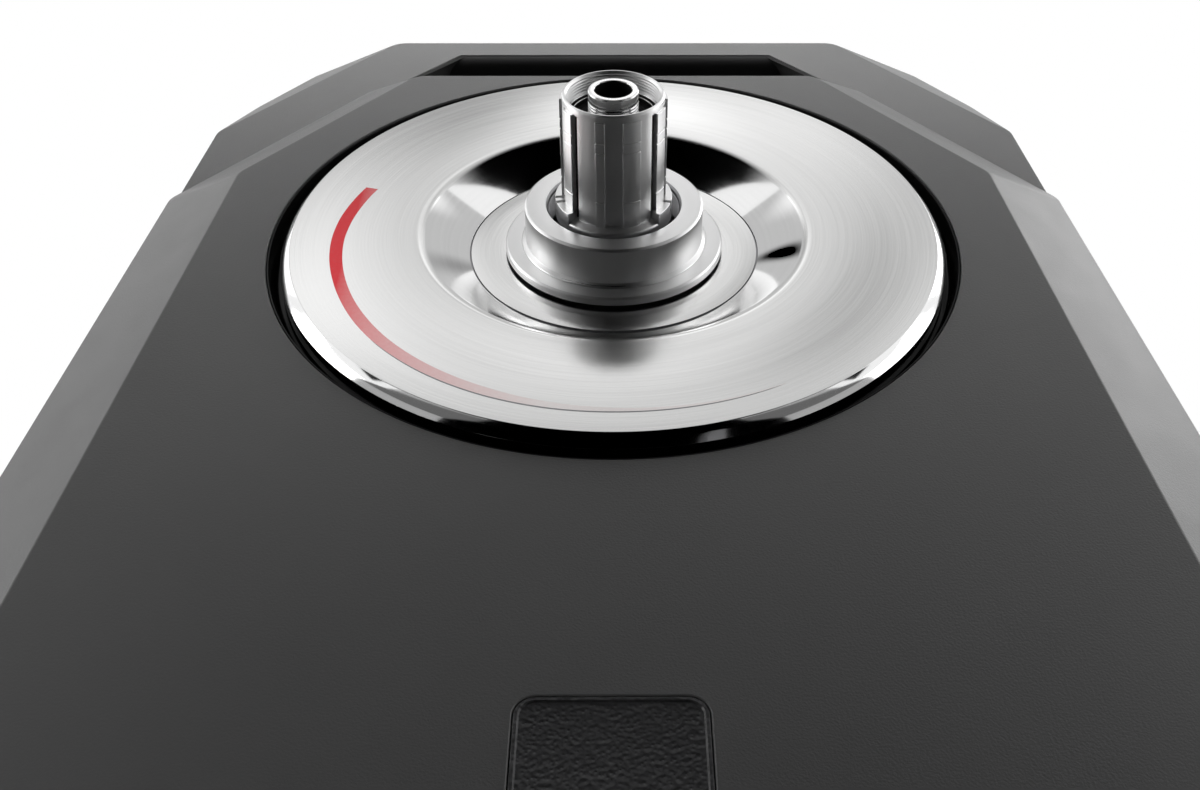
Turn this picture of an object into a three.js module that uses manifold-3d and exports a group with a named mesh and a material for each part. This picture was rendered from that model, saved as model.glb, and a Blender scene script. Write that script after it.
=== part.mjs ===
// Direct drive bike trainer: a wheel-off trainer whose motor disc sits in a moulded body.
// Millimetres. +X points the way the bike rides, +Z is up and the drive side is -Y.
// The origin is on the floor under the axle, in the bike's centre plane.
import * as THREE from 'three';
import { mergeVertices } from 'three/addons/utils/BufferGeometryUtils.js';
import Module from 'manifold-3d';

const wasm = await Module();
wasm.setup();

// Driving dimensions
const axleHeight = 335;
const overDropouts = 142;
const faceOffset = 18.6;
const coverDepth = 18;
const frameDepth = 39;
const groundClearance = 56;
const frameTop = 189;
const handleSlotTop = 176;
const handleSlotBottom = 142;
const recessRadius = 115.8;
const discRadius = 110.8;
const thruAxleBore = 12;
const legReach = 235;
const legOpenAngle = 105;
const stanceWidth = 220;

// Clearances and overruns
const seatGap = 0.3;
const bearingFit = 0.09;
const overrun = 2;

// Facets
const discSteps = 48;
const hubSteps = 28;
const roundSteps = 20;
const padSteps = 16;
const smallSteps = 12;
const cornerSteps = 3;

// Drive-side face of the body: an outline in x and height above the axle
const face = {
  top: 118,
  topHalf: 80.8,
  shoulder: 39.8,
  shoulderHalf: 135.9,
  sideFlareShare: 0.0565,
  chamferWidth: 32.3,
  topChamferWidth: 24,
  cornerRadius: 9,
  wall: 3,
};

// Middle layer of the body, which holds the motor and ends in the carry handle
const frame = {
  sideAtFaceShoulder: 165.6,
  facetSideHeight: 104,
  facetTopHalf: 99.4,
  facetWidth: 29.8,
  facetDepth: 15,
  cornerRadius: 9,
  boreRadius: 106,
};

const slot = {
  topHalf: 69.4,
  bottomHalf: 98,
  linerWall: 2.2,
  gripBulge: 9,
  gripRound: 10,
};

const ring = {
  lipDrop: 0.5,
  wall: 2,
  floorDrop: 7.5,
  floorThickness: 2,
  innerRadius: 105,
};

const disc = {
  proud: 2.9,
  rimDrop: 6.6,
  thicknessDrop: 10.5,
  backRadius: 103.5,
  edgeWidth: 3,
  edgeDrop: 1.4,
  coneOuter: 63.8,
  coneInner: 50.2,
  annulusRadius: 49.4,
  annulusDrop: 6.2,
  bevel: 2.6,
  bevelDrop: 0.6,
};

const bell = {
  drop: 10.8,
  web: 4.7,
  radius: 103.5,
  wall: 6,
  endDrop: 52,
};

const magnet = {
  thickness: 3.6,
  startDrop: 19,
  endDrop: 49,
};

const hub = {
  collarRadius: 29.8,
  collarProud: 11.4,
  collarBreak: 0.9,
  holeRadius: 22.8,
  holeBreak: 1,
  holeDrop: 14,
  filletRadius: 31.2,
  filletDrop: 1,
  flangeRadius: 36.7,
  flangeDrop: 2.2,
  flangeEdge: 2.2,
  flangeBreak: 0.6,
  neckRadius: 33,
  clampRadius: 44,
  clampThickness: 3.6,
  tubeRadius: 20,
  tubeEndDrop: 52,
  bearingBore: 14.1,
};

const ratchet = {
  teeth: 15,
  rootRadius: 20.6,
  tipRadius: 19.1,
  frontDrop: 1.5,
  leanShare: 0.75,
};

const freehub = {
  rimRadius: 16.4,
  rimProud: 51.3,
  rimBreak: 0.5,
  splineRadius: 17.3,
  splineStart: 12.6,
  splineStop: 48.9,
  splineCount: 9,
  splineAngle: 19,
  narrowSplineAngle: 11,
  firstSplineAngle: 20,
  splineRootShare: 0.97,
  shoulderRadius: 18.7,
  flareRadius: 19.8,
  flareProud: 9.6,
  flareEdge: 2.2,
  skirtRadius: 18.4,
  innerDrop: 0.9,
  threadRadius: 14.8,
  threadDepth: 9,
  boreRadius: 13,
  pawlSeatRadius: 16.4,
  pawlDrop: 12.5,
};

const pawl = {
  count: 3,
  width: 9,
  tipRadius: 18.7,
  length: 8,
};

const axle = {
  radius: 8.5,
  boreWall: 2.35,
  driveEnd: 44,
  rearRecess: 5,
};

const driveCap = {
  radius: 8.1,
  flatDepth: 1.1,
  flatLength: 3.4,
  edgeBreak: 0.5,
};

const rearCap = {
  radius: 11,
  edgeBreak: 0.8,
};

const bearingWidth = 9;

const seal = {
  width: 1.5,
  radius: 14.4,
};

const stator = {
  innerRadius: 30.3,
  yokeRadius: 56,
  airGap: 0.9,
  teeth: 12,
  toothWidth: 14,
  tipWidth: 40,
  tipDepth: 5,
  frontDrop: 23,
  backDrop: 46,
  windingOverhang: 3,
  windingInset: 2,
};

const mountTube = {
  innerRadius: 24,
  frontDrop: 21.5,
  flangeRadius: 48,
  flangeThickness: 5,
};

const carrier = {
  radius: 117,
  thickness: 7,
  bossRadius: 20,
  bossGap: 6,
  windowInner: 56,
  windowOuter: 94,
  windowCount: 6,
  ribWidth: 16,
};

const rearCover = {
  holeRadius: 22,
  ventCount: 14,
  ventInner: 50,
  ventOuter: 92,
  ventWidth: 7,
  bossRadius: 7,
};

const screw = {
  headRadius: 4.3,
  headHeight: 3,
  headClearance: 0.4,
  shankRadius: 2,
};

const badge = {
  width: 44,
  height: 44,
  topAboveBase: 83.2,
  cornerRadius: 5,
  thickness: 1.5,
};

const inlet = {
  flangeRadius: 11,
  flangeThickness: 1.6,
  barrelRadius: 8,
  boreRadius: 4.6,
  depth: 14,
  boreDepth: 11,
};

const board = {
  width: 150,
  height: 66,
  thickness: 1.6,
  topBelowAxle: 128,
  sinkWidth: 60,
  sinkHeight: 34,
  finCount: 6,
  finThickness: 3,
  finHeight: 8,
  sinkBase: 2,
  capacitorRadius: 7,
  capacitorHeight: 10,
};

// Ground parts, centred under the bike: a channel beam, a rear crossbar and two folding legs
const beam = {
  halfWidth: 34,
  underside: 18,
  wall: 4,
  front: 150,
};

const crossbar = {
  width: 44,
  height: 28,
  edgeBreak: 6,
  endMargin: 20,
  capThickness: 8,
};

const hinge = {
  forward: 124,
  offset: 78,
  earRadius: 22,
  earUnderside: 40,
  flangeThickness: 6,
  boltRadius: 5,
  boreClearance: 0.08,
};

const leg = {
  underside: 20,
  height: 30,
  rootStart: 30,
  rootHalf: 20,
  tipRadius: 18,
  edgeBreak: 5,
  tongueRadius: 21.5,
  lapReach: 45,
};

const bolt = {
  headAcross: 8,
  headHeight: 5,
  headSides: 6,
};

const knob = {
  lobes: 6,
  radius: 18,
  lobeDepth: 2.6,
  height: 15,
  hubRadius: 10,
  hubHeight: 3,
  outlineSteps: 18,
  edgeBreak: 2,
};

const foot = {
  padRadius: 20,
  padTop: 12,
  padBreak: 2.5,
  soleRadius: 18,
  socketRadius: 7,
  socketDepth: 5,
  studRadius: 4,
  studClearance: 0.5,
  wheelRadius: 13,
  wheelLobes: 8,
  wheelLobeDepth: 1,
  neckGap: 0.4,
  studTopInset: 3,
};

// Levels across the body, measured outward from the drive-side face
const frameFront = -coverDepth;
const frameBack = -(coverDepth + frameDepth);
const rearFace = -(coverDepth + frameDepth + coverDepth);
const driveEnd = overDropouts / 2 - faceOffset;
const rearEnd = -(overDropouts / 2 + faceOffset);
const bottomBelowAxle = groundClearance - axleHeight;

// The open legs reach as far forward of the axle as the crossbar reaches behind it
const legTurn = THREE.MathUtils.degToRad(180 - legOpenAngle);
const crossbarCentre = hinge.forward + legReach * Math.cos(legTurn) + foot.padRadius - crossbar.width / 2;

// Y of a level across the body
function yAt(out) {
  return -(faceOffset + out);
}

// Closed geometry with shared vertices, no empty triangles and faces pointing out
function closed(geometry) {
  geometry.deleteAttribute('normal');
  geometry.deleteAttribute('uv');
  const merged = mergeVertices(geometry);
  const source = merged.index.array;
  const points = merged.attributes.position;
  const kept = [];
  const a = new THREE.Vector3();
  const b = new THREE.Vector3();
  const c = new THREE.Vector3();
  let volume = 0;
  for (let i = 0; i < source.length; i += 3) {
    const [p, q, r] = [source[i], source[i + 1], source[i + 2]];
    if (p !== q && q !== r && r !== p) {
      kept.push([p, q, r]);
      a.fromBufferAttribute(points, p);
      b.fromBufferAttribute(points, q);
      c.fromBufferAttribute(points, r);
      volume += a.dot(b.cross(c));
    }
  }
  const faces = volume < 0 ? kept.map(([p, q, r]) => [p, r, q]) : kept;
  const result = new THREE.BufferGeometry();
  result.setAttribute('position', points);
  result.setIndex(faces.flat());
  return result;
}

function toSolid(geometry) {
  const vertProperties = new Float32Array(geometry.attributes.position.array);
  const triVerts = new Uint32Array(geometry.index.array);
  return new wasm.Manifold(new wasm.Mesh({ numProp: 3, vertProperties, triVerts }));
}

function toGeometry(solid) {
  const mesh = solid.getMesh();
  const result = new THREE.BufferGeometry();
  result.setAttribute('position', new THREE.BufferAttribute(mesh.vertProperties, mesh.numProp));
  result.setIndex(new THREE.BufferAttribute(mesh.triVerts, 1));
  return result;
}

function cut(body, ...tools) {
  return toGeometry(tools.reduce((rest, tool) => rest.subtract(toSolid(tool)), toSolid(body)));
}

function join(body, ...others) {
  return toGeometry(others.reduce((whole, other) => whole.add(toSolid(other)), toSolid(body)));
}

// Solid of revolution about the wheel axle; the profile holds [radius, level] pairs
function turned(profile, steps) {
  const points = profile.map(([radius, out]) => new THREE.Vector2(radius, yAt(out)));
  points.push(points[0].clone());
  return closed(new THREE.LatheGeometry(points, steps)).translate(0, 0, axleHeight);
}

// Plain cylinder about the wheel axle between two levels
function axleCylinder(radius, outA, outB, steps) {
  return turned([[0, outA], [radius, outA], [radius, outB], [0, outB]], steps);
}

// Solid of revolution about an upright axis; the profile holds [radius, height] pairs
function upright(profile, steps) {
  const points = profile.map(([radius, height]) => new THREE.Vector2(radius, height));
  points.push(points[0].clone());
  return closed(new THREE.LatheGeometry(points, steps).rotateX(Math.PI / 2));
}

function uprightCylinder(radius, bottom, top, steps) {
  return upright([[0, bottom], [radius, bottom], [radius, top], [0, top]], steps);
}

// Skin through rings of points that all have the same count, with flat ends
function skin(rings) {
  const count = rings[0].length;
  const index = [];
  for (let level = 0; level < rings.length - 1; level += 1) {
    for (let i = 0; i < count; i += 1) {
      const next = (i + 1) % count;
      const lower = level * count;
      const upper = lower + count;
      index.push(lower + i, lower + next, upper + next);
      index.push(lower + i, upper + next, upper + i);
    }
  }
  return { count, index, vertices: rings.flat() };
}

// Loft between sections; place(point, level) gives the position of an outline point
function loft(sections, place) {
  const rings = sections.map(({ level, outline }) => outline.map((point) => place(point, level)));
  const { count, index, vertices } = skin(rings);
  const last = (rings.length - 1) * count;
  const ends = [[sections[0].outline, 0], [sections[sections.length - 1].outline, last]];
  ends.forEach(([outline, start]) => {
    const triangles = THREE.ShapeUtils.triangulateShape(outline, []);
    triangles.forEach(([p, q, r]) => {
      index.push(...(start === 0 ? [start + r, start + q, start + p] : [start + p, start + q, start + r]));
    });
  });
  const geometry = new THREE.BufferGeometry();
  const positions = vertices.flatMap((point) => [point.x, point.y, point.z]);
  geometry.setAttribute('position', new THREE.Float32BufferAttribute(positions, 3));
  geometry.setIndex(index);
  return closed(geometry);
}

// Loft across the body: outlines in x and height above the axle, levels outward from the face
function across(sections) {
  return loft(sections, (point, out) => new THREE.Vector3(point.x, yAt(out), axleHeight + point.y));
}

function slab(outline, outA, outB) {
  return across([{ level: outA, outline }, { level: outB, outline }]);
}

// Loft upward: outlines in plan, levels are heights
function rising(sections) {
  return loft(sections, (point, height) => new THREE.Vector3(point.x, point.y, height));
}

// Outline with every edge moved outward by its own width; corners run anticlockwise
function offsetOutline(corners, widths) {
  const count = corners.length;
  const lines = corners.map((corner, i) => {
    const next = corners[(i + 1) % count];
    const along = next.clone().sub(corner).normalize();
    const normal = new THREE.Vector2(along.y, -along.x);
    return { point: corner.clone().addScaledVector(normal, widths[i]), along };
  });
  return lines.map((line, i) => {
    const before = lines[(i + count - 1) % count];
    const between = line.point.clone().sub(before.point);
    const t = between.cross(line.along) / before.along.cross(line.along);
    return before.point.clone().addScaledVector(before.along, t);
  });
}

// Outline with each corner turned into an arc of the given radius
function roundedOutline(corners, radius, steps = cornerSteps) {
  const count = corners.length;
  return corners.flatMap((corner, i) => {
    const before = corners[(i + count - 1) % count].clone().sub(corner).normalize();
    const after = corners[(i + 1) % count].clone().sub(corner).normalize();
    const half = Math.acos(THREE.MathUtils.clamp(before.dot(after), -1, 1)) / 2;
    const centre = before.clone().add(after).normalize()
      .multiplyScalar(radius / Math.sin(half)).add(corner);
    const start = corner.clone().addScaledVector(before, radius / Math.tan(half)).sub(centre);
    const end = corner.clone().addScaledVector(after, radius / Math.tan(half)).sub(centre);
    const sweep = Math.atan2(start.cross(end), start.dot(end));
    return Array.from({ length: steps + 1 }, (_, k) => {
      return start.clone().rotateAround(new THREE.Vector2(), (sweep * k) / steps).add(centre);
    });
  });
}

// Mirror-symmetric corner list from its right half, given from the bottom up
function bothSides(right) {
  const left = [...right].reverse().map(([x, height]) => [-x, height]);
  return [...right, ...left].map(([x, height]) => new THREE.Vector2(x, height));
}

function circle(radius, steps) {
  return Array.from({ length: steps }, (_, i) => {
    return new THREE.Vector2(radius, 0).rotateAround(new THREE.Vector2(), (2 * Math.PI * i) / steps);
  });
}

function rectangle(centreX, centreY, width, height) {
  const [halfWidth, halfHeight] = [width / 2, height / 2];
  return [
    new THREE.Vector2(centreX - halfWidth, centreY - halfHeight),
    new THREE.Vector2(centreX + halfWidth, centreY - halfHeight),
    new THREE.Vector2(centreX + halfWidth, centreY + halfHeight),
    new THREE.Vector2(centreX - halfWidth, centreY + halfHeight),
  ];
}

// Outline points turned about the origin and then moved
function turnedOutline(outline, angle, x = 0, y = 0) {
  const pivot = new THREE.Vector2();
  return outline.map((point) => point.clone().rotateAround(pivot, angle).add(new THREE.Vector2(x, y)));
}

// Half width of the face at a height, on its flared sides
function faceSide(height) {
  return face.shoulderHalf + (face.shoulder - height) * face.sideFlareShare;
}

// Corners of the face; the bottom edge leaves room for its chamfer
function faceCorners() {
  const bottom = bottomBelowAxle + face.chamferWidth;
  return bothSides([
    [faceSide(bottom), bottom],
    [face.shoulderHalf, face.shoulder],
    [face.topHalf, face.top],
  ]);
}

const coverWidths = [
  face.chamferWidth,
  face.chamferWidth,
  face.topChamferWidth,
  face.chamferWidth,
  face.chamferWidth,
  face.chamferWidth,
];

// Outline of a cover where a share of the chamfer has been passed, pulled in by a wall
function coverOutline(chamferShare, inset) {
  const widths = coverWidths.map((width) => width * chamferShare - inset);
  return roundedOutline(offsetOutline(faceCorners(), widths), face.cornerRadius);
}

// Moulded shell open towards the frame; side is +1 for the drive side and -1 for the rear
function coverShell(outFace, side) {
  const back = outFace - side * (coverDepth - seatGap);
  const inner = outFace - side * face.wall;
  const innerShare = face.wall / coverDepth;
  const body = across([
    { level: outFace, outline: coverOutline(0, 0) },
    { level: back, outline: coverOutline(1, 0) },
  ]);
  const hollow = across([
    { level: inner, outline: coverOutline(innerShare, face.wall * 2) },
    { level: back - side * overrun, outline: coverOutline(1 + innerShare, face.wall * 2) },
  ]);
  return cut(body, hollow);
}

function driveSideCover() {
  const hole = axleCylinder(recessRadius, overrun, -coverDepth, discSteps);
  const pocket = slab(badgeOutline(seatGap), overrun, -badge.thickness);
  const back = slab(badgeOutline(face.wall), -badge.thickness, -badge.thickness - face.wall);
  const housing = join(coverShell(0, 1), back);
  return cut(housing, hole, pocket);
}

function badgeOutline(margin) {
  const width = badge.width + 2 * margin;
  const height = badge.height + 2 * margin;
  const centre = bottomBelowAxle + badge.topAboveBase - badge.height / 2;
  return roundedOutline(rectangle(0, centre, width, height), badge.cornerRadius + margin);
}

function badgePlate() {
  return slab(badgeOutline(0), 0, -(badge.thickness - seatGap));
}

// Frame half width at a height, on its flared sides
function frameSide(height) {
  return frame.sideAtFaceShoulder + (face.shoulder - height) * face.sideFlareShare;
}

// Frame outline with the corner facet moved outward
function frameOutline(facetShift) {
  const lowX = frameSide(frame.facetSideHeight);
  const slope = (frameTop - frame.facetSideHeight) / (lowX - frame.facetTopHalf);
  const rise = facetShift * Math.hypot(1, slope);
  const sideHeight = frame.facetSideHeight + rise;
  const topHalf = frame.facetTopHalf + rise / slope;
  return roundedOutline(bothSides([
    [frameSide(bottomBelowAxle), bottomBelowAxle],
    [frameSide(sideHeight), sideHeight],
    [topHalf, frameTop],
  ]), frame.cornerRadius);
}

// Corners of the carry slot, moved inward by a wall
function slotCorners(inset, top) {
  const lean = (slot.bottomHalf - slot.topHalf) / (handleSlotTop - handleSlotBottom);
  const low = handleSlotBottom + inset;
  const shift = inset * Math.hypot(1, lean);
  const halfAt = (height) => slot.bottomHalf - (height - handleSlotBottom) * lean - shift;
  return bothSides([[halfAt(low), low], [halfAt(top), top]]);
}

function mainFrame() {
  const body = across([
    { level: frameFront, outline: frameOutline(0) },
    { level: frameFront - frame.facetDepth, outline: frameOutline(frame.facetWidth) },
    { level: frameBack + frame.facetDepth, outline: frameOutline(frame.facetWidth) },
    { level: frameBack, outline: frameOutline(0) },
  ]);
  const bore = axleCylinder(frame.boreRadius, frameFront + overrun, frameBack - overrun, discSteps);
  const opening = slab(slotCorners(0, handleSlotTop), frameFront + overrun, frameBack - overrun);
  return cut(body, bore, opening);
}

// Dark lining of the carry slot; it swells into a round grip under the bar
function handleGrip() {
  const [front, back] = [frameFront - seatGap, frameBack + seatGap];
  const outer = slab(slotCorners(seatGap, handleSlotTop - seatGap), front, back);
  const bulgeAt = (angle) => ({
    drop: slot.gripRound * (1 - Math.cos(angle)),
    top: handleSlotTop - slot.gripBulge * Math.sin(angle),
  });
  const angles = Array.from({ length: cornerSteps + 1 }, (_, i) => (Math.PI / 2) * (i / cornerSteps));
  const outlineAt = (top) => slotCorners(slot.linerWall, top - slot.linerWall / 2);
  const entry = angles.map((angle) => {
    const { drop, top } = bulgeAt(angle);
    return { drop, outline: outlineAt(top) };
  });
  const opening = across([
    { level: front + overrun, outline: entry[0].outline },
    ...entry.map(({ drop, outline }) => ({ level: front - drop, outline })),
    ...[...entry].reverse().map(({ drop, outline }) => ({ level: back + drop, outline })),
    { level: back - overrun, outline: entry[0].outline },
  ]);
  return cut(outer, opening);
}

function recessRing() {
  const outer = recessRadius - seatGap;
  const inner = outer - ring.wall;
  const foot = frameFront + seatGap;
  return turned([
    [outer, -ring.lipDrop],
    [inner, -ring.lipDrop],
    [inner, -ring.floorDrop],
    [ring.innerRadius, -ring.floorDrop],
    [ring.innerRadius, -ring.floorDrop - ring.floorThickness],
    [inner, -ring.floorDrop - ring.floorThickness],
    [inner, foot],
    [outer, foot],
  ], discSteps);
}

// Drawn motor disc: bevelled rim, flat band, polished cone and an annulus under the hub flange
function rotorDisc() {
  const bore = hub.neckRadius + seatGap;
  return turned([
    [bore, -disc.annulusDrop],
    [disc.annulusRadius, -disc.annulusDrop],
    [disc.coneInner, -disc.annulusDrop + disc.bevelDrop],
    [disc.coneOuter, disc.proud - disc.bevelDrop],
    [disc.coneOuter + disc.bevel, disc.proud],
    [discRadius - disc.edgeWidth, disc.proud],
    [discRadius, -disc.edgeDrop],
    [discRadius, -disc.rimDrop],
    [disc.backRadius, -disc.rimDrop],
    [disc.backRadius, -disc.thicknessDrop],
    [bore, -disc.thicknessDrop],
  ], discSteps);
}

// Steel cup behind the disc: it carries the magnets and gives the flywheel mass
function rotorBell() {
  const bore = hub.neckRadius + seatGap;
  const inside = -bell.drop - bell.web;
  return turned([
    [bore, -bell.drop],
    [bell.radius, -bell.drop],
    [bell.radius, -bell.endDrop],
    [bell.radius - bell.wall, -bell.endDrop],
    [bell.radius - bell.wall, inside],
    [bore, inside],
  ], hubSteps);
}

const magnetOuter = bell.radius - bell.wall - seatGap;
const magnetInner = magnetOuter - magnet.thickness;

function magnetRing() {
  return turned([
    [magnetOuter, -magnet.startDrop],
    [magnetOuter, -magnet.endDrop],
    [magnetInner, -magnet.endDrop],
    [magnetInner, -magnet.startDrop],
  ], hubSteps);
}

// Hub: stepped collar and flange outside, clamp flange and bearing tube behind the disc
function rotorHub() {
  const clampFront = -bell.drop - bell.web - seatGap;
  const clampBack = clampFront - hub.clampThickness;
  return turned([
    [hub.holeRadius, -hub.holeDrop],
    [hub.holeRadius, hub.collarProud - hub.holeBreak],
    [hub.holeRadius + hub.holeBreak, hub.collarProud],
    [hub.collarRadius - hub.collarBreak, hub.collarProud],
    [hub.collarRadius, hub.collarProud - hub.collarBreak],
    [hub.collarRadius, -hub.filletDrop],
    [hub.filletRadius, -hub.flangeDrop],
    [hub.flangeRadius - hub.flangeBreak, -hub.flangeDrop],
    [hub.flangeRadius, -hub.flangeDrop - hub.flangeBreak],
    [hub.flangeRadius, -hub.flangeDrop - hub.flangeEdge],
    [hub.neckRadius, -hub.flangeDrop - hub.flangeEdge],
    [hub.neckRadius, clampFront],
    [hub.clampRadius, clampFront],
    [hub.clampRadius, clampBack],
    [hub.tubeRadius, clampBack],
    [hub.tubeRadius, -hub.tubeEndDrop],
    [hub.bearingBore, -hub.tubeEndDrop],
    [hub.bearingBore, -hub.holeDrop],
  ], hubSteps);
}

// Ring of saw teeth pressed into the bottom of the hub's hole
function ratchetRing() {
  const outer = circle(hub.holeRadius - seatGap, hubSteps);
  const pitch = (2 * Math.PI) / ratchet.teeth;
  const teeth = Array.from({ length: ratchet.teeth }, (_, i) => [
    new THREE.Vector2(ratchet.tipRadius, 0).rotateAround(new THREE.Vector2(), pitch * i),
    new THREE.Vector2(ratchet.rootRadius, 0)
      .rotateAround(new THREE.Vector2(), pitch * (i + ratchet.leanShare)),
  ]).flat();
  const [front, back] = [-ratchet.frontDrop, -hub.holeDrop + seatGap];
  return cut(slab(outer, front, back), slab(teeth, front + overrun, back - overrun));
}

// One spline as a sector of the cassette body
function spline(middleAngle, width) {
  const root = freehub.rimRadius * freehub.splineRootShare;
  const [low, high] = [middleAngle - width / 2, middleAngle + width / 2];
  const angles = [low, middleAngle, high].map(THREE.MathUtils.degToRad);
  const at = (radius, angle) => new THREE.Vector2(0, -radius).rotateAround(new THREE.Vector2(), angle);
  const outer = angles.map((angle) => at(freehub.splineRadius, angle));
  const inner = [...angles].reverse().map((angle) => at(root, angle));
  return slab([...outer, ...inner], freehub.splineStart, freehub.splineStop);
}

// Cassette body: a plain rim, nine splines, a shoulder at the foot and a threaded mouth
function freehubBody() {
  const mouth = freehub.rimProud - freehub.threadDepth;
  const core = turned([
    [freehub.boreRadius, -ratchet.frontDrop + freehub.innerDrop],
    [freehub.boreRadius, mouth],
    [freehub.threadRadius, mouth],
    [freehub.threadRadius, freehub.rimProud - freehub.rimBreak],
    [freehub.threadRadius + freehub.rimBreak, freehub.rimProud],
    [freehub.rimRadius - freehub.rimBreak, freehub.rimProud],
    [freehub.rimRadius, freehub.rimProud - freehub.rimBreak],
    [freehub.rimRadius, freehub.splineStart],
    [freehub.shoulderRadius, freehub.splineStart],
    [freehub.flareRadius, freehub.flareProud],
    [freehub.flareRadius, freehub.flareProud - freehub.flareEdge],
    [freehub.skirtRadius, freehub.flareProud - 2 * freehub.flareEdge],
    [freehub.skirtRadius, -ratchet.frontDrop + freehub.innerDrop],
  ], hubSteps);
  const carrierFront = -ratchet.frontDrop + freehub.innerDrop + seatGap;
  const pawlCarrier = turned([
    [freehub.boreRadius, carrierFront],
    [freehub.pawlSeatRadius, carrierFront],
    [freehub.pawlSeatRadius, -freehub.pawlDrop],
    [freehub.boreRadius, -freehub.pawlDrop],
  ], hubSteps);
  const pitch = 360 / freehub.splineCount;
  const splines = Array.from({ length: freehub.splineCount }, (_, i) => {
    const width = i === freehub.splineCount - 1 ? freehub.narrowSplineAngle : freehub.splineAngle;
    return spline(freehub.firstSplineAngle + pitch * i, width);
  });
  return join(core, pawlCarrier, ...splines);
}

// Spring-loaded pawl lying on its seat on the cassette body
function pawlPiece(i) {
  const seat = freehub.pawlSeatRadius + seatGap;
  const [front, back] = [-ratchet.frontDrop - pawl.length / 4, -ratchet.frontDrop - pawl.length];
  const half = Math.asin(pawl.width / 2 / pawl.tipRadius);
  const angles = [-half, 0, half];
  const at = (radius, angle) => new THREE.Vector2(radius, 0).rotateAround(new THREE.Vector2(), angle);
  const outer = angles.map((angle) => at(pawl.tipRadius, angle));
  const inner = [...angles].reverse().map((angle) => at(seat, angle));
  const turn = (2 * Math.PI * i) / pawl.count;
  return slab(turnedOutline([...outer, ...inner], turn), front, back);
}

// Sealed ball bearing on the axle, as one ring
function bearingOnAxle(outerRadius, outA) {
  const inner = axle.radius + bearingFit;
  const outB = outA + bearingWidth;
  return turned([[inner, outA], [outerRadius, outA], [outerRadius, outB], [inner, outB]], roundSteps);
}

function freehubSeal() {
  const back = freehub.rimProud - freehub.threadDepth + seatGap;
  return turned([
    [axle.radius + bearingFit, back],
    [seal.radius, back],
    [seal.radius, back + seal.width],
    [axle.radius + bearingFit, back + seal.width],
  ], roundSteps);
}

const boreRadius = thruAxleBore / 2;
const axleRear = rearFace - axle.rearRecess;

function hollowAxle() {
  const bore = axle.radius - axle.boreWall;
  return turned([
    [bore, axle.driveEnd],
    [axle.radius, axle.driveEnd],
    [axle.radius, axleRear],
    [bore, axleRear],
  ], roundSteps);
}

// Drive-side end: a short threaded nose with two spanner flats
function driveEndCap() {
  const tip = driveEnd;
  const nose = turned([
    [boreRadius, axle.driveEnd + seatGap],
    [driveCap.radius, axle.driveEnd + seatGap],
    [driveCap.radius, tip - driveCap.edgeBreak],
    [driveCap.radius - driveCap.edgeBreak, tip],
    [boreRadius, tip],
  ], roundSteps);
  const side = 2 * driveCap.radius;
  const flats = [1, -1].map((sign) => {
    const centre = sign * (driveCap.radius - driveCap.flatDepth + driveCap.radius);
    return slab(rectangle(0, centre, side, side), tip + overrun, tip - driveCap.flatLength);
  });
  return cut(nose, ...flats);
}

function rearEndCap() {
  return turned([
    [boreRadius, axleRear - seatGap],
    [rearCap.radius, axleRear - seatGap],
    [rearCap.radius, rearEnd + rearCap.edgeBreak],
    [rearCap.radius - rearCap.edgeBreak, rearEnd],
    [boreRadius, rearEnd],
  ], roundSteps);
}

const statorRadius = magnetInner - stator.airGap;

// Laminated core: a yoke ring with teeth that widen at the air gap
function statorOutline(grow) {
  const pitch = (2 * Math.PI) / stator.teeth;
  const halfTooth = stator.toothWidth / 2 + grow;
  const halfTip = stator.tipWidth / 2 + grow;
  const neck = statorRadius - stator.tipDepth - grow;
  const rootAngle = Math.asin(halfTooth / (stator.yokeRadius + grow));
  const tooth = [
    new THREE.Vector2((stator.yokeRadius + grow) * Math.cos(rootAngle), -halfTooth),
    new THREE.Vector2(neck, -halfTooth),
    new THREE.Vector2(neck + stator.tipDepth / 2, -halfTip),
    new THREE.Vector2(Math.sqrt(statorRadius ** 2 - halfTip ** 2), -halfTip),
    new THREE.Vector2(statorRadius, 0),
    new THREE.Vector2(Math.sqrt(statorRadius ** 2 - halfTip ** 2), halfTip),
    new THREE.Vector2(neck + stator.tipDepth / 2, halfTip),
    new THREE.Vector2(neck, halfTooth),
    new THREE.Vector2((stator.yokeRadius + grow) * Math.cos(rootAngle), halfTooth),
  ];
  return Array.from({ length: stator.teeth }, (_, i) => turnedOutline(tooth, pitch * i)).flat();
}

function statorCore() {
  const body = slab(statorOutline(0), -stator.frontDrop, -stator.backDrop);
  const frontPast = -stator.frontDrop + overrun;
  return cut(body, axleCylinder(stator.innerRadius, frontPast, -stator.backDrop - overrun, hubSteps));
}

// Copper: the coils of all teeth, joined by their end turns into one wound crown
function statorWinding() {
  const inner = stator.yokeRadius + stator.windingInset;
  const outer = statorRadius - stator.tipDepth - stator.windingInset;
  const [front, back] = [
    -stator.frontDrop + stator.windingOverhang,
    -stator.backDrop - stator.windingOverhang,
  ];
  const crown = turned([[inner, front], [outer, front], [outer, back], [inner, back]], hubSteps);
  const teeth = slab(statorOutline(seatGap), -stator.frontDrop + seatGap, -stator.backDrop - seatGap);
  return cut(crown, teeth);
}

const carrierFront = frameBack - seatGap;

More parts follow.
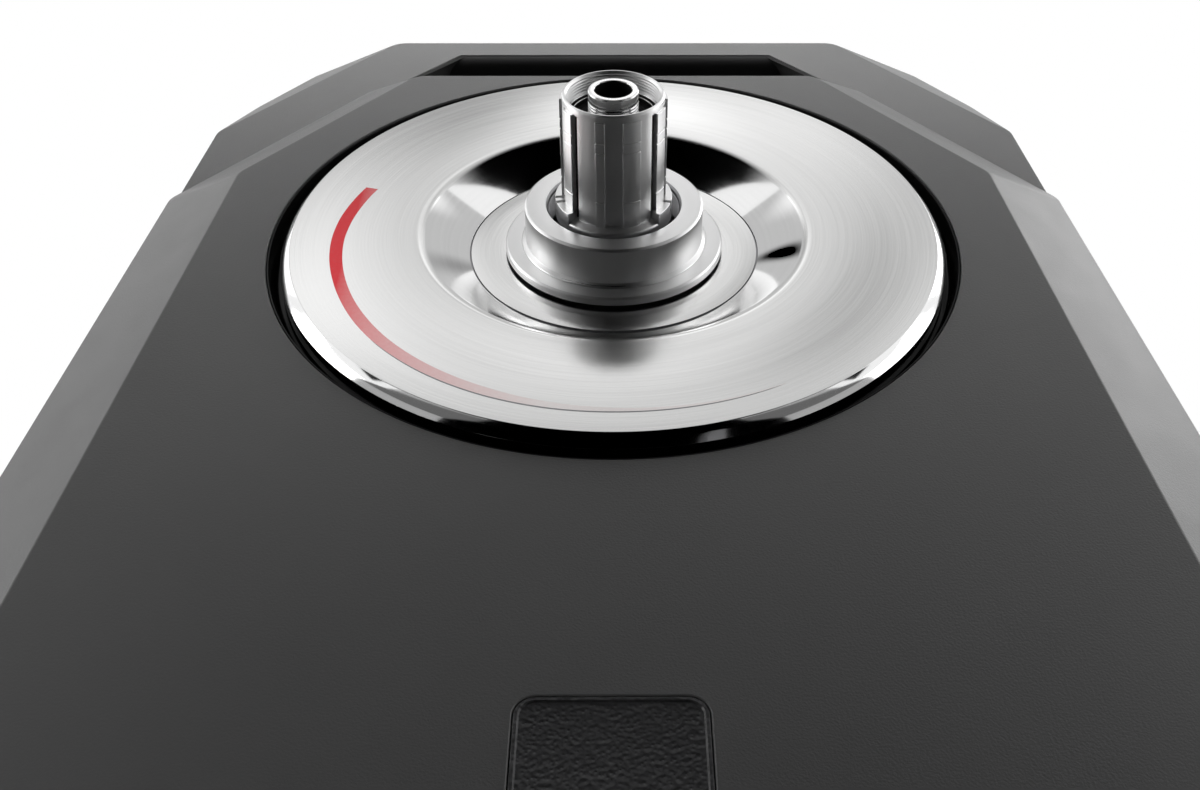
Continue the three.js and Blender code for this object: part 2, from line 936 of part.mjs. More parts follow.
// Flanged tube that carries the stator on the rear plate
function statorMount() {
  const flangeBack = carrierFront + seatGap;
  return turned([
    [mountTube.innerRadius, -mountTube.frontDrop],
    [stator.innerRadius - seatGap, -mountTube.frontDrop],
    [stator.innerRadius - seatGap, flangeBack + mountTube.flangeThickness],
    [mountTube.flangeRadius, flangeBack + mountTube.flangeThickness],
    [mountTube.flangeRadius, flangeBack],
    [mountTube.innerRadius, flangeBack],
  ], hubSteps);
}

// Rear plate: closes the frame's bore, holds the axle in its boss and has six windows
function axleCarrier() {
  const plateBack = carrierFront - carrier.thickness;
  const bossEnd = axleRear + seatGap;
  const body = turned([
    [axle.radius + bearingFit, carrierFront],
    [carrier.radius, carrierFront],
    [carrier.radius, plateBack],
    [carrier.bossRadius + carrier.bossGap, plateBack],
    [carrier.bossRadius, plateBack - carrier.bossGap],
    [carrier.bossRadius, bossEnd],
    [axle.radius + bearingFit, bossEnd],
  ], hubSteps);
  const halfPitch = Math.PI / carrier.windowCount;
  const edgeAngle = (radius) => halfPitch - Math.asin(carrier.ribWidth / 2 / radius);
  const at = (radius, angle) => new THREE.Vector2(radius, 0).rotateAround(new THREE.Vector2(), angle);
  const [narrow, wide] = [edgeAngle(carrier.windowInner), edgeAngle(carrier.windowOuter)];
  const outline = [
    at(carrier.windowInner, narrow),
    at(carrier.windowInner, 0),
    at(carrier.windowInner, -narrow),
    at(carrier.windowOuter, -wide),
    at(carrier.windowOuter, -wide / 2),
    at(carrier.windowOuter, 0),
    at(carrier.windowOuter, wide / 2),
    at(carrier.windowOuter, wide),
  ];
  const windows = Array.from({ length: carrier.windowCount }, (_, i) => {
    const turn = 2 * halfPitch * i;
    return slab(turnedOutline(outline, turn), carrierFront + overrun, plateBack - overrun);
  });
  return cut(body, ...windows);
}

// Places of the rear cover's screws, worked out from the face outline
function screwPlaces() {
  const inset = rearCover.bossRadius * 2;
  const corners = offsetOutline(faceCorners(), coverWidths.map(() => -inset));
  return corners;
}

// Rear shell with a ring of cooling slots, a hole for the axle boss and screw bosses
function nonDriveCover() {
  const faceInside = rearFace + face.wall;
  const bosses = screwPlaces().map((place) => {
    const outline = turnedOutline(circle(rearCover.bossRadius, smallSteps), 0, place.x, place.y);
    return slab(outline, rearFace, frameBack - seatGap);
  });
  const shell = join(coverShell(rearFace, -1), ...bosses);
  const vents = Array.from({ length: rearCover.ventCount }, (_, i) => {
    const middle = (rearCover.ventInner + rearCover.ventOuter) / 2;
    const length = rearCover.ventOuter - rearCover.ventInner;
    const outline = rectangle(middle, 0, length, rearCover.ventWidth);
    const turn = (2 * Math.PI * i) / rearCover.ventCount;
    return slab(turnedOutline(outline, turn), rearFace - overrun, faceInside + overrun);
  });
  const hole = axleCylinder(rearCover.holeRadius, rearFace - overrun, faceInside + overrun, hubSteps);
  const inletHole = slab(inletOutline(inlet.barrelRadius + seatGap), rearFace - overrun, frameBack);
  const screwHoles = screwPlaces().flatMap((place) => {
    const ringAt = (radius) => turnedOutline(circle(radius, smallSteps), 0, place.x, place.y);
    const headBottom = rearFace + screw.headHeight;
    return [
      slab(ringAt(screw.headRadius + screw.headClearance), rearFace - overrun, headBottom),
      slab(ringAt(screw.shankRadius + screw.headClearance), rearFace, frameBack + overrun),
    ];
  });
  return cut(shell, hole, inletHole, ...vents, ...screwHoles);
}

// Cap screw of the rear cover
function coverScrew(place) {
  const ringAt = (radius) => turnedOutline(circle(radius, smallSteps), 0, place.x, place.y);
  const headBottom = rearFace + screw.headHeight - seatGap;
  const head = slab(ringAt(screw.headRadius), rearFace, headBottom);
  return join(head, slab(ringAt(screw.shankRadius), headBottom - seatGap, frameBack - seatGap));
}

// Power inlet near the rear cover's lower front corner
function inletOutline(radius) {
  const place = screwPlaces()[0];
  const x = place.x - 2 * inlet.flangeRadius - rearCover.bossRadius;
  return turnedOutline(circle(radius, roundSteps), 0, x, place.y + inlet.flangeRadius);
}

function powerInlet() {
  const flangeOut = rearFace - seatGap;
  const flange = slab(inletOutline(inlet.flangeRadius), flangeOut - inlet.flangeThickness, flangeOut);
  const barrel = slab(inletOutline(inlet.barrelRadius), flangeOut - seatGap, rearFace + inlet.depth);
  const bore = slab(
    inletOutline(inlet.boreRadius),
    flangeOut - inlet.flangeThickness - overrun,
    rearFace + inlet.boreDepth,
  );
  return cut(join(flange, barrel), bore);
}

// Motor controller: a board on the frame's face with a finned sink and two capacitors
function controllerBoard() {
  const base = frameFront + seatGap;
  const top = base + board.thickness;
  const centre = -board.topBelowAxle - board.height / 2;
  const plate = slab(rectangle(0, centre, board.width, board.height), base, top);
  const overlap = board.thickness / 2;
  const sinkX = -board.width / 4;
  const sinkPlate = rectangle(sinkX, centre, board.sinkWidth, board.sinkHeight);
  const sink = slab(sinkPlate, top - overlap, top + board.sinkBase);
  const pitch = (board.sinkWidth - board.finThickness) / (board.finCount - 1);
  const fins = Array.from({ length: board.finCount }, (_, i) => {
    const x = sinkX - (board.sinkWidth - board.finThickness) / 2 + pitch * i;
    const outline = rectangle(x, centre, board.finThickness, board.sinkHeight);
    return slab(outline, top + board.sinkBase - overlap, top + board.finHeight);
  });
  const capacitors = [1, -1].map((sign) => {
    const ringAt = circle(board.capacitorRadius, smallSteps);
    const outline = turnedOutline(ringAt, 0, board.width / 4, centre + sign * board.height / 4);
    return slab(outline, top - overlap, top + board.capacitorHeight);
  });
  return join(plate, sink, ...fins, ...capacitors);
}

const beamTop = groundClearance - seatGap;
const crossbarFront = -(crossbarCentre - crossbar.width / 2);

// Pressed channel under the body, open downwards and at both ends
function baseBeam() {
  const start = crossbarFront + seatGap;
  const length = beam.front - start;
  const middle = (beam.front + start) / 2;
  const outer = rectangle(middle, 0, length, 2 * beam.halfWidth);
  const inner = rectangle(middle, 0, length + 2 * overrun, 2 * (beam.halfWidth - beam.wall));
  const body = rising([{ level: beam.underside, outline: outer }, { level: beamTop, outline: outer }]);
  const hollow = rising([
    { level: beam.underside - overrun, outline: inner },
    { level: beamTop - beam.wall, outline: inner },
  ]);
  return cut(body, hollow);
}

// Section of the crossbar across its length: flat foot, sloped upper edges
function crossbarSection(side) {
  const half = crossbar.width / 2;
  const [low, high] = [beam.underside, beam.underside + crossbar.height];
  const corners = [
    [-half, low],
    [half, low],
    [half, high - crossbar.edgeBreak],
    [half - crossbar.edgeBreak, high],
    [crossbar.edgeBreak - half, high],
    [-half, high - crossbar.edgeBreak],
  ];
  const outline = corners.map(([x, height]) => new THREE.Vector2(x, height));
  return { outline, level: side };
}

function crossbarPiece(from, to) {
  const place = (point, level) => new THREE.Vector3(point.x - crossbarCentre, level, point.y);
  return loft([crossbarSection(from), crossbarSection(to)], place);
}

const crossbarEnd = stanceWidth / 2 + crossbar.endMargin;

function rearCrossbar() {
  const bar = crossbarPiece(-crossbarEnd, crossbarEnd);
  const holes = [1, -1].map((side) => {
    const y = (side * stanceWidth) / 2;
    return studHole(beam.underside + crossbar.height).translate(-crossbarCentre, y, 0);
  });
  return cut(bar, ...holes);
}

function crossbarCap(side) {
  return crossbarPiece(side * (crossbarEnd + seatGap), side * (crossbarEnd + crossbar.capThickness));
}

// Hole for a levelling stud, open through the piece that carries it
function studHole(top) {
  const radius = foot.studRadius + foot.studClearance;
  return uprightCylinder(radius, foot.padTop, top + overrun, smallSteps);
}

// Ear on the beam's side that carries one leg's hinge bolt
function legBracket(side) {
  const inner = beam.halfWidth + seatGap;
  const width = hinge.offset - inner;
  const arm = rectangle(0, -side * (width / 2), 2 * hinge.earRadius, width);
  const ear = circle(hinge.earRadius, roundSteps);
  const flangeCentre = -side * (width - hinge.flangeThickness / 2);
  const flange = rectangle(0, flangeCentre, 3 * hinge.earRadius, hinge.flangeThickness);
  const levels = (outline, low) => rising([{ level: low, outline }, { level: beamTop, outline }]);
  const body = join(
    levels(arm, hinge.earUnderside),
    levels(ear, hinge.earUnderside),
    levels(flange, leg.underside),
  );
  const boreRadiusHere = hinge.boltRadius + hinge.boreClearance;
  const bore = uprightCylinder(boreRadiusHere, hinge.earUnderside - overrun, beamTop + overrun, roundSteps);
  return cut(body, bore);
}

// Leg outline in plan from the root to the round tip, pulled in by a margin
function legOutline(inset) {
  const tip = Array.from({ length: smallSteps + 1 }, (_, i) => {
    const angle = Math.PI * (i / smallSteps - 1 / 2);
    const arm = new THREE.Vector2(leg.tipRadius - inset, 0).rotateAround(new THREE.Vector2(), angle);
    return arm.add(new THREE.Vector2(legReach, 0));
  });
  const root = [
    new THREE.Vector2(leg.rootStart + inset, leg.rootHalf - inset),
    new THREE.Vector2(leg.rootStart + inset, -(leg.rootHalf - inset)),
  ];
  return [...tip, ...root];
}

// Folding leg along its own +X, with a lapped tongue under the bracket's ear
function legPiece() {
  const top = leg.underside + leg.height;
  const main = rising([
    { level: leg.underside, outline: legOutline(0) },
    { level: top - leg.edgeBreak, outline: legOutline(0) },
    { level: top, outline: legOutline(leg.edgeBreak) },
  ]);
  const tongueTop = hinge.earUnderside - seatGap;
  const lap = rectangle(leg.lapReach / 2, 0, leg.lapReach, 2 * leg.rootHalf - 2 * seatGap);
  const tongue = join(
    uprightCylinder(leg.tongueRadius, leg.underside, tongueTop, roundSteps),
    rising([{ level: leg.underside + seatGap, outline: lap }, { level: tongueTop, outline: lap }]),
  );
  const boreRadiusHere = hinge.boltRadius + hinge.boreClearance;
  const bore = uprightCylinder(boreRadiusHere, leg.underside - overrun, tongueTop + overrun, roundSteps);
  const footHole = studHole(top).translate(legReach, 0, 0);
  return cut(join(main, tongue), bore, footHole);
}

// Hinge bolt: hexagon head under the tongue, shank up through the ear into the knob
function hingeBolt() {
  const headTop = leg.underside - seatGap;
  const head = rising([
    { level: headTop - bolt.headHeight, outline: circle(bolt.headAcross, bolt.headSides) },
    { level: headTop, outline: circle(bolt.headAcross, bolt.headSides) },
  ]);
  const shankTop = beamTop + knob.hubHeight + knob.height / 2;
  return join(head, uprightCylinder(hinge.boltRadius, headTop - seatGap, shankTop, roundSteps));
}

function lobedOutline(radius, lobes, depth, steps) {
  return Array.from({ length: steps }, (_, i) => {
    const angle = (2 * Math.PI * i) / steps;
    const reach = radius - depth * (1 - Math.cos(lobes * angle)) / 2;
    return new THREE.Vector2(reach, 0).rotateAround(new THREE.Vector2(), angle);
  });
}

// Clamp knob: six-lobed grip on a round hub, with a blind hole for the bolt's end
function clampKnob() {
  const bottom = beamTop + seatGap;
  const gripBottom = bottom + knob.hubHeight;
  const top = gripBottom + knob.height;
  const grip = (inset) => lobedOutline(knob.radius - inset, knob.lobes, knob.lobeDepth, knob.outlineSteps);
  const lobes = rising([
    { level: gripBottom, outline: grip(knob.edgeBreak) },
    { level: gripBottom + knob.edgeBreak, outline: grip(0) },
    { level: top - knob.edgeBreak, outline: grip(0) },
    { level: top, outline: grip(knob.edgeBreak) },
  ]);
  const stem = uprightCylinder(knob.hubRadius, bottom, gripBottom + knob.edgeBreak, roundSteps);
  const holeTop = beamTop + knob.hubHeight + knob.height / 2 + seatGap;
  const boreRadiusHere = hinge.boltRadius + hinge.boreClearance;
  return cut(join(lobes, stem), uprightCylinder(boreRadiusHere, bottom - overrun, holeTop, roundSteps));
}

// Rubber foot pad with a socket in its top for the stud's ball end
function footPad() {
  return upright([
    [0, 0],
    [foot.soleRadius, 0],
    [foot.padRadius, foot.padBreak],
    [foot.padRadius, foot.padTop - foot.padBreak],
    [foot.padRadius - foot.padBreak, foot.padTop],
    [foot.socketRadius, foot.padTop],
    [foot.socketRadius, foot.padTop - foot.socketDepth],
    [0, foot.padTop - foot.socketDepth],
  ], padSteps);
}

// Levelling stud with a scalloped thumb wheel that stops under the leg or bar
function footStud(underside, top) {
  const wheelBottom = foot.padTop + seatGap;
  const wheelTop = underside - seatGap;
  const outline = lobedOutline(foot.wheelRadius, foot.wheelLobes, foot.wheelLobeDepth, knob.outlineSteps);
  const wheel = rising([{ level: wheelBottom, outline }, { level: wheelTop, outline }]);
  const socketFloor = foot.padTop - foot.socketDepth;
  const neck = upright([
    [0, socketFloor + foot.neckGap],
    [foot.socketRadius - foot.neckGap, socketFloor + foot.neckGap],
    [foot.socketRadius - foot.neckGap, wheelBottom + foot.neckGap],
    [0, wheelBottom + foot.neckGap],
  ], smallSteps);
  const thread = uprightCylinder(foot.studRadius, wheelTop - foot.neckGap, top, smallSteps);
  return join(wheel, neck, thread);
}

// Finishes, taken from the photograph where it shows the piece
function finish(color, roughness, metalness) {
  return new THREE.MeshStandardMaterial({ color, roughness, metalness });
}

const matGrey = () => finish(0x5b5c5d, 0.62, 0);
const gripBlack = () => finish(0x141414, 0.7, 0);
const glossBlack = () => finish(0x060606, 0.12, 0);
const brushedSteel = () => finish(0xd6d6d4, 0.28, 1);
const satinAlloy = () => finish(0xbdbdbb, 0.35, 1);
const darkSteel = () => finish(0x6e6e70, 0.4, 1);
const paintedBlack = () => finish(0x202122, 0.5, 0);
const copper = () => finish(0xb06a3b, 0.4, 1);
const boardGreen = () => finish(0x1d4a32, 0.6, 0);
const rubber = () => finish(0x181818, 0.85, 0);

const trainer = new THREE.Group();

function add(parent, name, geometry, material) {
  const mesh = new THREE.Mesh(geometry, material);
  mesh.name = name;
  parent.add(mesh);
  return mesh;
}

// Body
add(trainer, 'main_frame', mainFrame(), matGrey());
add(trainer, 'drive_side_cover', driveSideCover(), matGrey());
add(trainer, 'non_drive_cover', nonDriveCover(), matGrey());
add(trainer, 'handle_grip', handleGrip(), gripBlack());
add(trainer, 'recess_ring', recessRing(), glossBlack());
add(trainer, 'badge_plate', badgePlate(), paintedBlack());
add(trainer, 'power_inlet', powerInlet(), glossBlack());
add(trainer, 'controller_board', controllerBoard(), boardGreen());
screwPlaces().forEach((place, i) => {
  add(trainer, `cover_screw_${i + 1}`, coverScrew(place), darkSteel());
});

// Motor
add(trainer, 'rotor_disc', rotorDisc(), brushedSteel());
add(trainer, 'rotor_bell', rotorBell(), darkSteel());
add(trainer, 'magnet_ring', magnetRing(), darkSteel());
add(trainer, 'rotor_hub', rotorHub(), satinAlloy());
add(trainer, 'ratchet_ring', ratchetRing(), darkSteel());
add(trainer, 'stator_core', statorCore(), darkSteel());
add(trainer, 'stator_winding', statorWinding(), copper());
add(trainer, 'stator_mount', statorMount(), satinAlloy());
add(trainer, 'axle_carrier', axleCarrier(), satinAlloy());

// Axle and cassette body
const hubBearingRadius = hub.bearingBore - bearingFit;
const freehubBearingRadius = freehub.boreRadius - bearingFit;
const hubBearingFront = -hub.holeDrop - bearingWidth;
const freehubBearingFront = freehub.rimProud - freehub.threadDepth - seatGap - bearingWidth;
add(trainer, 'axle', hollowAxle(), satinAlloy());
add(trainer, 'axle_end_cap_drive', driveEndCap(), satinAlloy());
add(trainer, 'axle_end_cap_rear', rearEndCap(), satinAlloy());
add(trainer, 'hub_bearing_drive', bearingOnAxle(hubBearingRadius, hubBearingFront), darkSteel());
add(trainer, 'hub_bearing_rear', bearingOnAxle(hubBearingRadius, -hub.tubeEndDrop), darkSteel());
add(trainer, 'freehub_body', freehubBody(), satinAlloy());
add(trainer, 'freehub_bearing_inner', bearingOnAxle(freehubBearingRadius, 0), darkSteel());
add(trainer, 'freehub_bearing_outer', bearingOnAxle(freehubBearingRadius, freehubBearingFront), darkSteel());
add(trainer, 'freehub_seal', freehubSeal(), rubber());
Array.from({ length: pawl.count }, (_, i) => {
  return add(trainer, `pawl_${i + 1}`, pawlPiece(i), darkSteel());
});

// Base
add(trainer, 'base_beam', baseBeam(), paintedBlack());
add(trainer, 'rear_crossbar', rearCrossbar(), matGrey());
[['right', -1], ['left', 1]].forEach(([name, side]) => {
  add(trainer, `crossbar_cap_${name}`, crossbarCap(side), rubber());
});

// One levelling foot: its pad and its stud, under a carrier with the given underside
function addFoot(parent, name, x, y, underside, height) {
  const top = underside + height - foot.studTopInset;
  const spot = new THREE.Group();
  spot.position.set(x, y, 0);
  parent.add(spot);
  add(spot, `foot_pad_${name}`, footPad(), rubber());
  add(spot, `foot_stud_${name}`, footStud(underside, top), darkSteel());
}

[['right', -1], ['left', 1]].forEach(([name, side]) => {
  const y = (side * stanceWidth) / 2;
  addFoot(trainer, `rear_${name}`, -crossbarCentre, y, beam.underside, crossbar.height);
});

// Legs, in their open position
[['right', -1], ['left', 1]].forEach(([name, side]) => {
  const station = new THREE.Group();
  station.position.set(hinge.forward, side * hinge.offset, 0);
  trainer.add(station);
  add(station, `leg_bracket_${name}`, legBracket(side), paintedBlack());
  add(station, `hinge_bolt_${name}`, hingeBolt(), darkSteel());
  add(station, `clamp_knob_${name}`, clampKnob(), gripBlack());
  const swing = new THREE.Group();
  swing.rotation.z = side * legTurn;
  station.add(swing);
  add(swing, `leg_${name}`, legPiece(), matGrey());
  addFoot(swing, `leg_${name}`, legReach, 0, leg.underside, leg.height);
});

export default trainer;
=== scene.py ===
"""Direct drive bike trainer: finish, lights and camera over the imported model.

Metres in Blender and on the stage, millimetres in the tables of the model. +X is the way the
bike rides, +Z is up and the drive side is -Y. Levels are measured out of the drive-side face and
heights from the axle; the heights of knobs and feet are measured from the floor.
"""
import math

import bmesh
import bpy
from mathutils import Matrix, Vector


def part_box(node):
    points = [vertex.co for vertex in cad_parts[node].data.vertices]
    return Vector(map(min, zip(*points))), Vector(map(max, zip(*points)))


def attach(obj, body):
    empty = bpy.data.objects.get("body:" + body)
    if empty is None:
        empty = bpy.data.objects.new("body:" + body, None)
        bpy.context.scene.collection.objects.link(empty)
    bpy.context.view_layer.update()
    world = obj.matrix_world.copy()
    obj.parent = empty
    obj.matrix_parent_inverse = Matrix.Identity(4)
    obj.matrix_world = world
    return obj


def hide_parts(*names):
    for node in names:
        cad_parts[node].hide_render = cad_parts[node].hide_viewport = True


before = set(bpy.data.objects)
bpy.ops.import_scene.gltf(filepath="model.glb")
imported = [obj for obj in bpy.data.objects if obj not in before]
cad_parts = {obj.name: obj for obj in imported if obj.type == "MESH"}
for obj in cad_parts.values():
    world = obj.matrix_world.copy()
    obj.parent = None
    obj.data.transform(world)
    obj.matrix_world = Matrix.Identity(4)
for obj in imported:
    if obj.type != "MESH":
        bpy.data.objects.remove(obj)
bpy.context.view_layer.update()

MM = 0.001
AXLE_HEIGHT = 335.0
FACE_OFFSET = 18.6
FRAME_FRONT = -18.0
FRAME_BACK = -57.0
BOTTOM = -279.0
SEAT_GAP = 0.3
OVERRUN = 2.0
FAR = math.inf
ANY = (-FAR, FAR)
SIDES = ("right", "left")
FOOT_PLACES = ("rear", "leg")

# Edges steeper than these stay sharp: on turned pieces, and on the facets of the body
SMOOTH_ANGLE = math.radians(32)
FACET_ANGLE = math.radians(14)

# Width of the rounded edges of the body
BODY_EDGE = 0.35

# Steps round a circle
DISC_STEPS = 256
ROUND_STEPS = 192
CORE_STEPS = 180
NOSE_STEPS = 144
SEAL_STEPS = 120
SMALL_STEPS = 96
CAP_STEPS = 64

FACE = {
    "top": 118.0, "top_half": 80.8, "shoulder": 39.8, "shoulder_half": 135.9,
    "flare": 0.0565, "chamfer": 32.3, "top_chamfer": 24.0, "corner": 9.0, "wall": 3.0,
    "depth": 18.0,
}
BODY = {
    "side": 165.6, "facet_height": 104.0, "facet_half": 99.4, "top": 189.0,
    "facet_width": 29.8, "facet_depth": 15.0, "corner": 9.0, "bore": 106.0,
}
SLOT = {
    "top": 176.0, "bottom": 142.0, "top_half": 69.4, "bottom_half": 98.0,
    "wall": 2.2, "bulge": 9.0, "round": 10.0,
}
RECESS = {"radius": 115.8, "lip": -0.45, "floor": -7.5, "floor_back": -9.5, "back": -17.7,
          "wall": 2.0, "bore": 105.0}
BADGE = {"width": 44.0, "height": 44.0, "top": -195.8, "corner": 5.0, "thickness": 1.5}


# Outlines and profiles

def both_sides(right):
    """Mirrored corner list from its right half, given from the bottom up."""
    return [Vector(p) for p in right] + [Vector((-x, y)) for x, y in reversed(right)]


def offset_outline(corners, widths):
    """Every edge moved outward by its own width; corners run anticlockwise."""
    count = len(corners)
    lines = []
    for i, corner in enumerate(corners):
        along = (corners[(i + 1) % count] - corner).normalized()
        lines.append((corner + Vector((along.y, -along.x)) * widths[i], along))
    moved = []
    for i, (point, along) in enumerate(lines):
        before, run = lines[i - 1]
        t = (point - before).cross(along) / run.cross(along)
        moved.append(before + run * t)
    return moved


def arc_points(corner, before, after, radius, steps):
    """Arc that rounds a corner between its two neighbours."""
    a = (before - corner).normalized()
    b = (after - corner).normalized()
    half = a.angle(b) / 2
    centre = corner + (a + b).normalized() * (radius / math.sin(half))
    start = corner + a * (radius / math.tan(half)) - centre
    end = corner + b * (radius / math.tan(half)) - centre
    sweep = math.atan2(start.cross(end), start.dot(end))
    return [centre + Matrix.Rotation(sweep * k / steps, 2) @ start for k in range(steps + 1)]


def rounded_outline(corners, radius, steps=10):
    """Outline whose corners all become arcs of one radius."""
    count = len(corners)
    points = []
    for i, corner in enumerate(corners):
        points += arc_points(corner, corners[i - 1], corners[(i + 1) % count], radius, steps)
    return points


def filleted(corners, steps=5):
    """Closed profile whose (radius, level, rounding) corners become arcs."""
    bare = [Vector(corner[:2]) for corner in corners]
    points = []
    for i, (_, _, rounding) in enumerate(corners):
        if rounding == 0:
            points.append(bare[i])
        else:
            points += arc_points(bare[i], bare[i - 1], bare[(i + 1) % len(bare)], rounding, steps)
    return points


def thread(radius, depth, start, end, pitch):
    """Ridges of a thread as (radius, level, rounding) corners from one level to another."""
    count = max(1, round(abs(end - start) / pitch))
    step = (end - start) / count
    ridge_shares = ((0, 0.1), (1, 0.45), (1, 0.6), (0, 0.95))
    return [(radius + depth * rise, start + step * i + step * share, 0)
            for i in range(count) for rise, share in ridge_shares]


def rectangle(centre_x, centre_y, width, height):
    """Corners of a rectangle, anticlockwise."""
    w, h = width / 2, height / 2
    return [Vector((centre_x + sx * w, centre_y + sy * h))
            for sx, sy in ((-1, -1), (1, -1), (1, 1), (-1, 1))]


def lobed(radius, depth, lobes, steps=SMALL_STEPS):
    """Circle whose radius dips by depth between its lobes."""
    points = []
    for k in range(steps):
        angle = 2 * math.pi * k / steps
        reach = radius - depth * (1 - math.cos(lobes * angle)) / 2
        points.append(Vector((math.cos(angle), math.sin(angle))) * reach)
    return points


def circle(radius, steps=SMALL_STEPS):
    """Circle as an outline."""
    angles = [2 * math.pi * k / steps for k in range(steps)]
    return [Vector((radius * math.cos(a), radius * math.sin(a))) for a in angles]


# Meshes

def across(x, height, level):
    """Point from x, height above the axle and level out of the face."""
    return Vector((x, -(FACE_OFFSET + level), AXLE_HEIGHT + height)) * MM


def upright_at(x, y):
    """Placing of an upright piece whose centre line stands at a point of the plan."""
    return lambda px, py, height: Vector((x + px, y + py, height)) * MM


def new_object(name, data):
    """Object with this data, linked to the scene."""
    obj = bpy.data.objects.new(name, data)
    bpy.context.collection.objects.link(obj)
    return obj


def solid_object(name, build):
    """Object whose mesh is made by build, a function that fills a bmesh."""
    bm = bmesh.new()
    build(bm)
    bmesh.ops.recalc_face_normals(bm, faces=bm.faces)
    mesh = bpy.data.meshes.new(name)
    bm.to_mesh(mesh)
    bm.free()
    return new_object(name, mesh)


def add_strip(bm, low, high):
    """Faces between two rings of vertices with equal counts."""
    for i in range(len(low)):
        j = (i + 1) % len(low)
        bm.faces.new((low[i], low[j], high[j], high[i]))


def add_rings(bm, rings):
    """Closed solid through rings of points, flat at both ends."""
    rows = [[bm.verts.new(point) for point in ring] for ring in rings]
    for low, high in zip(rows, rows[1:]):
        add_strip(bm, low, high)
    bm.faces.new(rows[0])
    bm.faces.new(rows[-1])


def add_loft(bm, sections, place=across):
    """Closed solid between outlines with equal point counts, given as (outline, level)."""
    add_rings(bm, [[place(p.x, p.y, level) for p in outline] for outline, level in sections])


def loft(name, sections, place=across):
    """Object with one lofted solid."""
    return solid_object(name, lambda bm: add_loft(bm, sections, place))


def lathe(name, profile, steps=ROUND_STEPS, place=across):
    """Closed ring turned about the wheel axle, or about the upright line of place."""
    def build(bm):
        rings = []
        for k in range(steps):
            angle = 2 * math.pi * k / steps
            rings.append([bm.verts.new(place(p[0] * math.cos(angle), p[0] * math.sin(angle), p[1]))
                          for p in profile])
        for k in range(steps):
            add_strip(bm, rings[k], rings[(k + 1) % steps])

    return solid_object(name, build)


def add_sector(bm, inner, outer, start, end, low, high, steps=6):
    """Block between two radii, two angles from straight down and two levels."""
    angles = [math.radians(start + (end - start) * k / steps) for k in range(steps + 1)]
    outline = [Vector((math.sin(a), -math.cos(a))) * outer for a in angles]
    outline += [Vector((math.sin(a), -math.cos(a))) * inner for a in reversed(angles)]
    add_loft(bm, [(outline, low), (outline, high)])


def carve(obj, *cutters):
    """Cuts the cutters out of the object and removes them."""
    for cutter in cutters:
        tool = obj.modifiers.new("cut", "BOOLEAN")
        tool.operation = "DIFFERENCE"
        tool.solver = "EXACT"
        tool.object = cutter
    bpy.context.view_layer.update()
    graph = bpy.context.evaluated_depsgraph_get()
    whole = obj.data
    obj.data = bpy.data.meshes.new_from_object(obj.evaluated_get(graph))
    obj.modifiers.clear()
    bpy.data.meshes.remove(whole)
    for cutter in cutters:
        bpy.data.objects.remove(cutter)


def soften(obj, width, segments=3, angle=SMOOTH_ANGLE):
    """Smooth shading, and small rounded edges that catch the light."""
    if width:
        bevel = obj.modifiers.new("edge", "BEVEL")
        bevel.limit_method = "ANGLE"
        bevel.angle_limit = angle
        bevel.width = width * MM
        bevel.segments = segments
        bevel.use_clamp_overlap = True
    obj.data.shade_smooth()
    obj.data.set_sharp_from_angle(angle=angle)


def finish_piece(obj, body, slot, *materials, replaces=()):
    """Gives a piece its materials and its body, and hides the nodes that it stands for. The slot
    is not used.
    """
    for material in materials:
        obj.data.materials.append(material)
    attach(obj, body)
    if replaces:
        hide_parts(*replaces)


def paint_faces(obj, zones):
    """Material of each face: the index of the first (index, radii, levels) zone that holds it."""
    for face in obj.data.polygons:
        centre = face.center / MM
        radius = math.hypot(centre.x, centre.z - AXLE_HEIGHT)
        level = -centre.y - FACE_OFFSET
        face.material_index = next(
            (index for index, (inner, outer), (low, high) in zones
             if inner < radius < outer and low < level < high), 0)


# Materials

class Nodes:
    """A node tree and the ways to add to it."""

    def __init__(self, tree):
        self.tree = tree

    def node(self, kind, **values):
        """New node; values are its settings or, with _ for a space, its sockets."""
        made = self.tree.nodes.new("ShaderNode" + kind)
        for key, value in values.items():
            if hasattr(made, key):
                setattr(made, key, value)
            else:
                made.inputs[key.replace("_", " ")].default_value = value
        return made

    def link(self, out, into):
        """Link from one socket to another."""
        self.tree.links.new(out, into)

    def math(self, operation, a, b=None):
        """Result of a math node on numbers or sockets."""
        made = self.node("Math", operation=operation)
        for socket, value in zip(made.inputs, (a, b)):
            if isinstance(value, (int, float)):
                socket.default_value = value
            elif value is not None:
                self.link(value, socket)
        return made.outputs[0]

    def place(self):
        """Point of the surface in the object's own space."""
        return self.node("TexCoord").outputs["Object"]

    def axes(self, vector):
        """X, Y and Z of a vector."""
        split = self.node("SeparateXYZ")
        self.link(vector, split.inputs[0])
        return split.outputs

    def mapped(self, value, low, high, **values):
        """Value from 0 to 1, or between its From ends, turned into low to high."""
        ramp = self.node("MapRange", To_Min=low, To_Max=high, **values)
        self.link(value, ramp.inputs["Value"])
        return ramp.outputs[0]

    def faded(self, value, start, end, low, high):
        """Smooth change from low to high while the value goes from start to end."""
        return self.mapped(value, low, high, From_Min=start, From_Max=end,
                           interpolation_type="SMOOTHSTEP")

    def mixed(self, factor, first, second):
        """Blend of two surfaces or backgrounds."""
        mix = self.node("MixShader")
        self.link(factor, mix.inputs[0])
        self.link(first.outputs[0], mix.inputs[1])
        self.link(second.outputs[0], mix.inputs[2])
        return mix


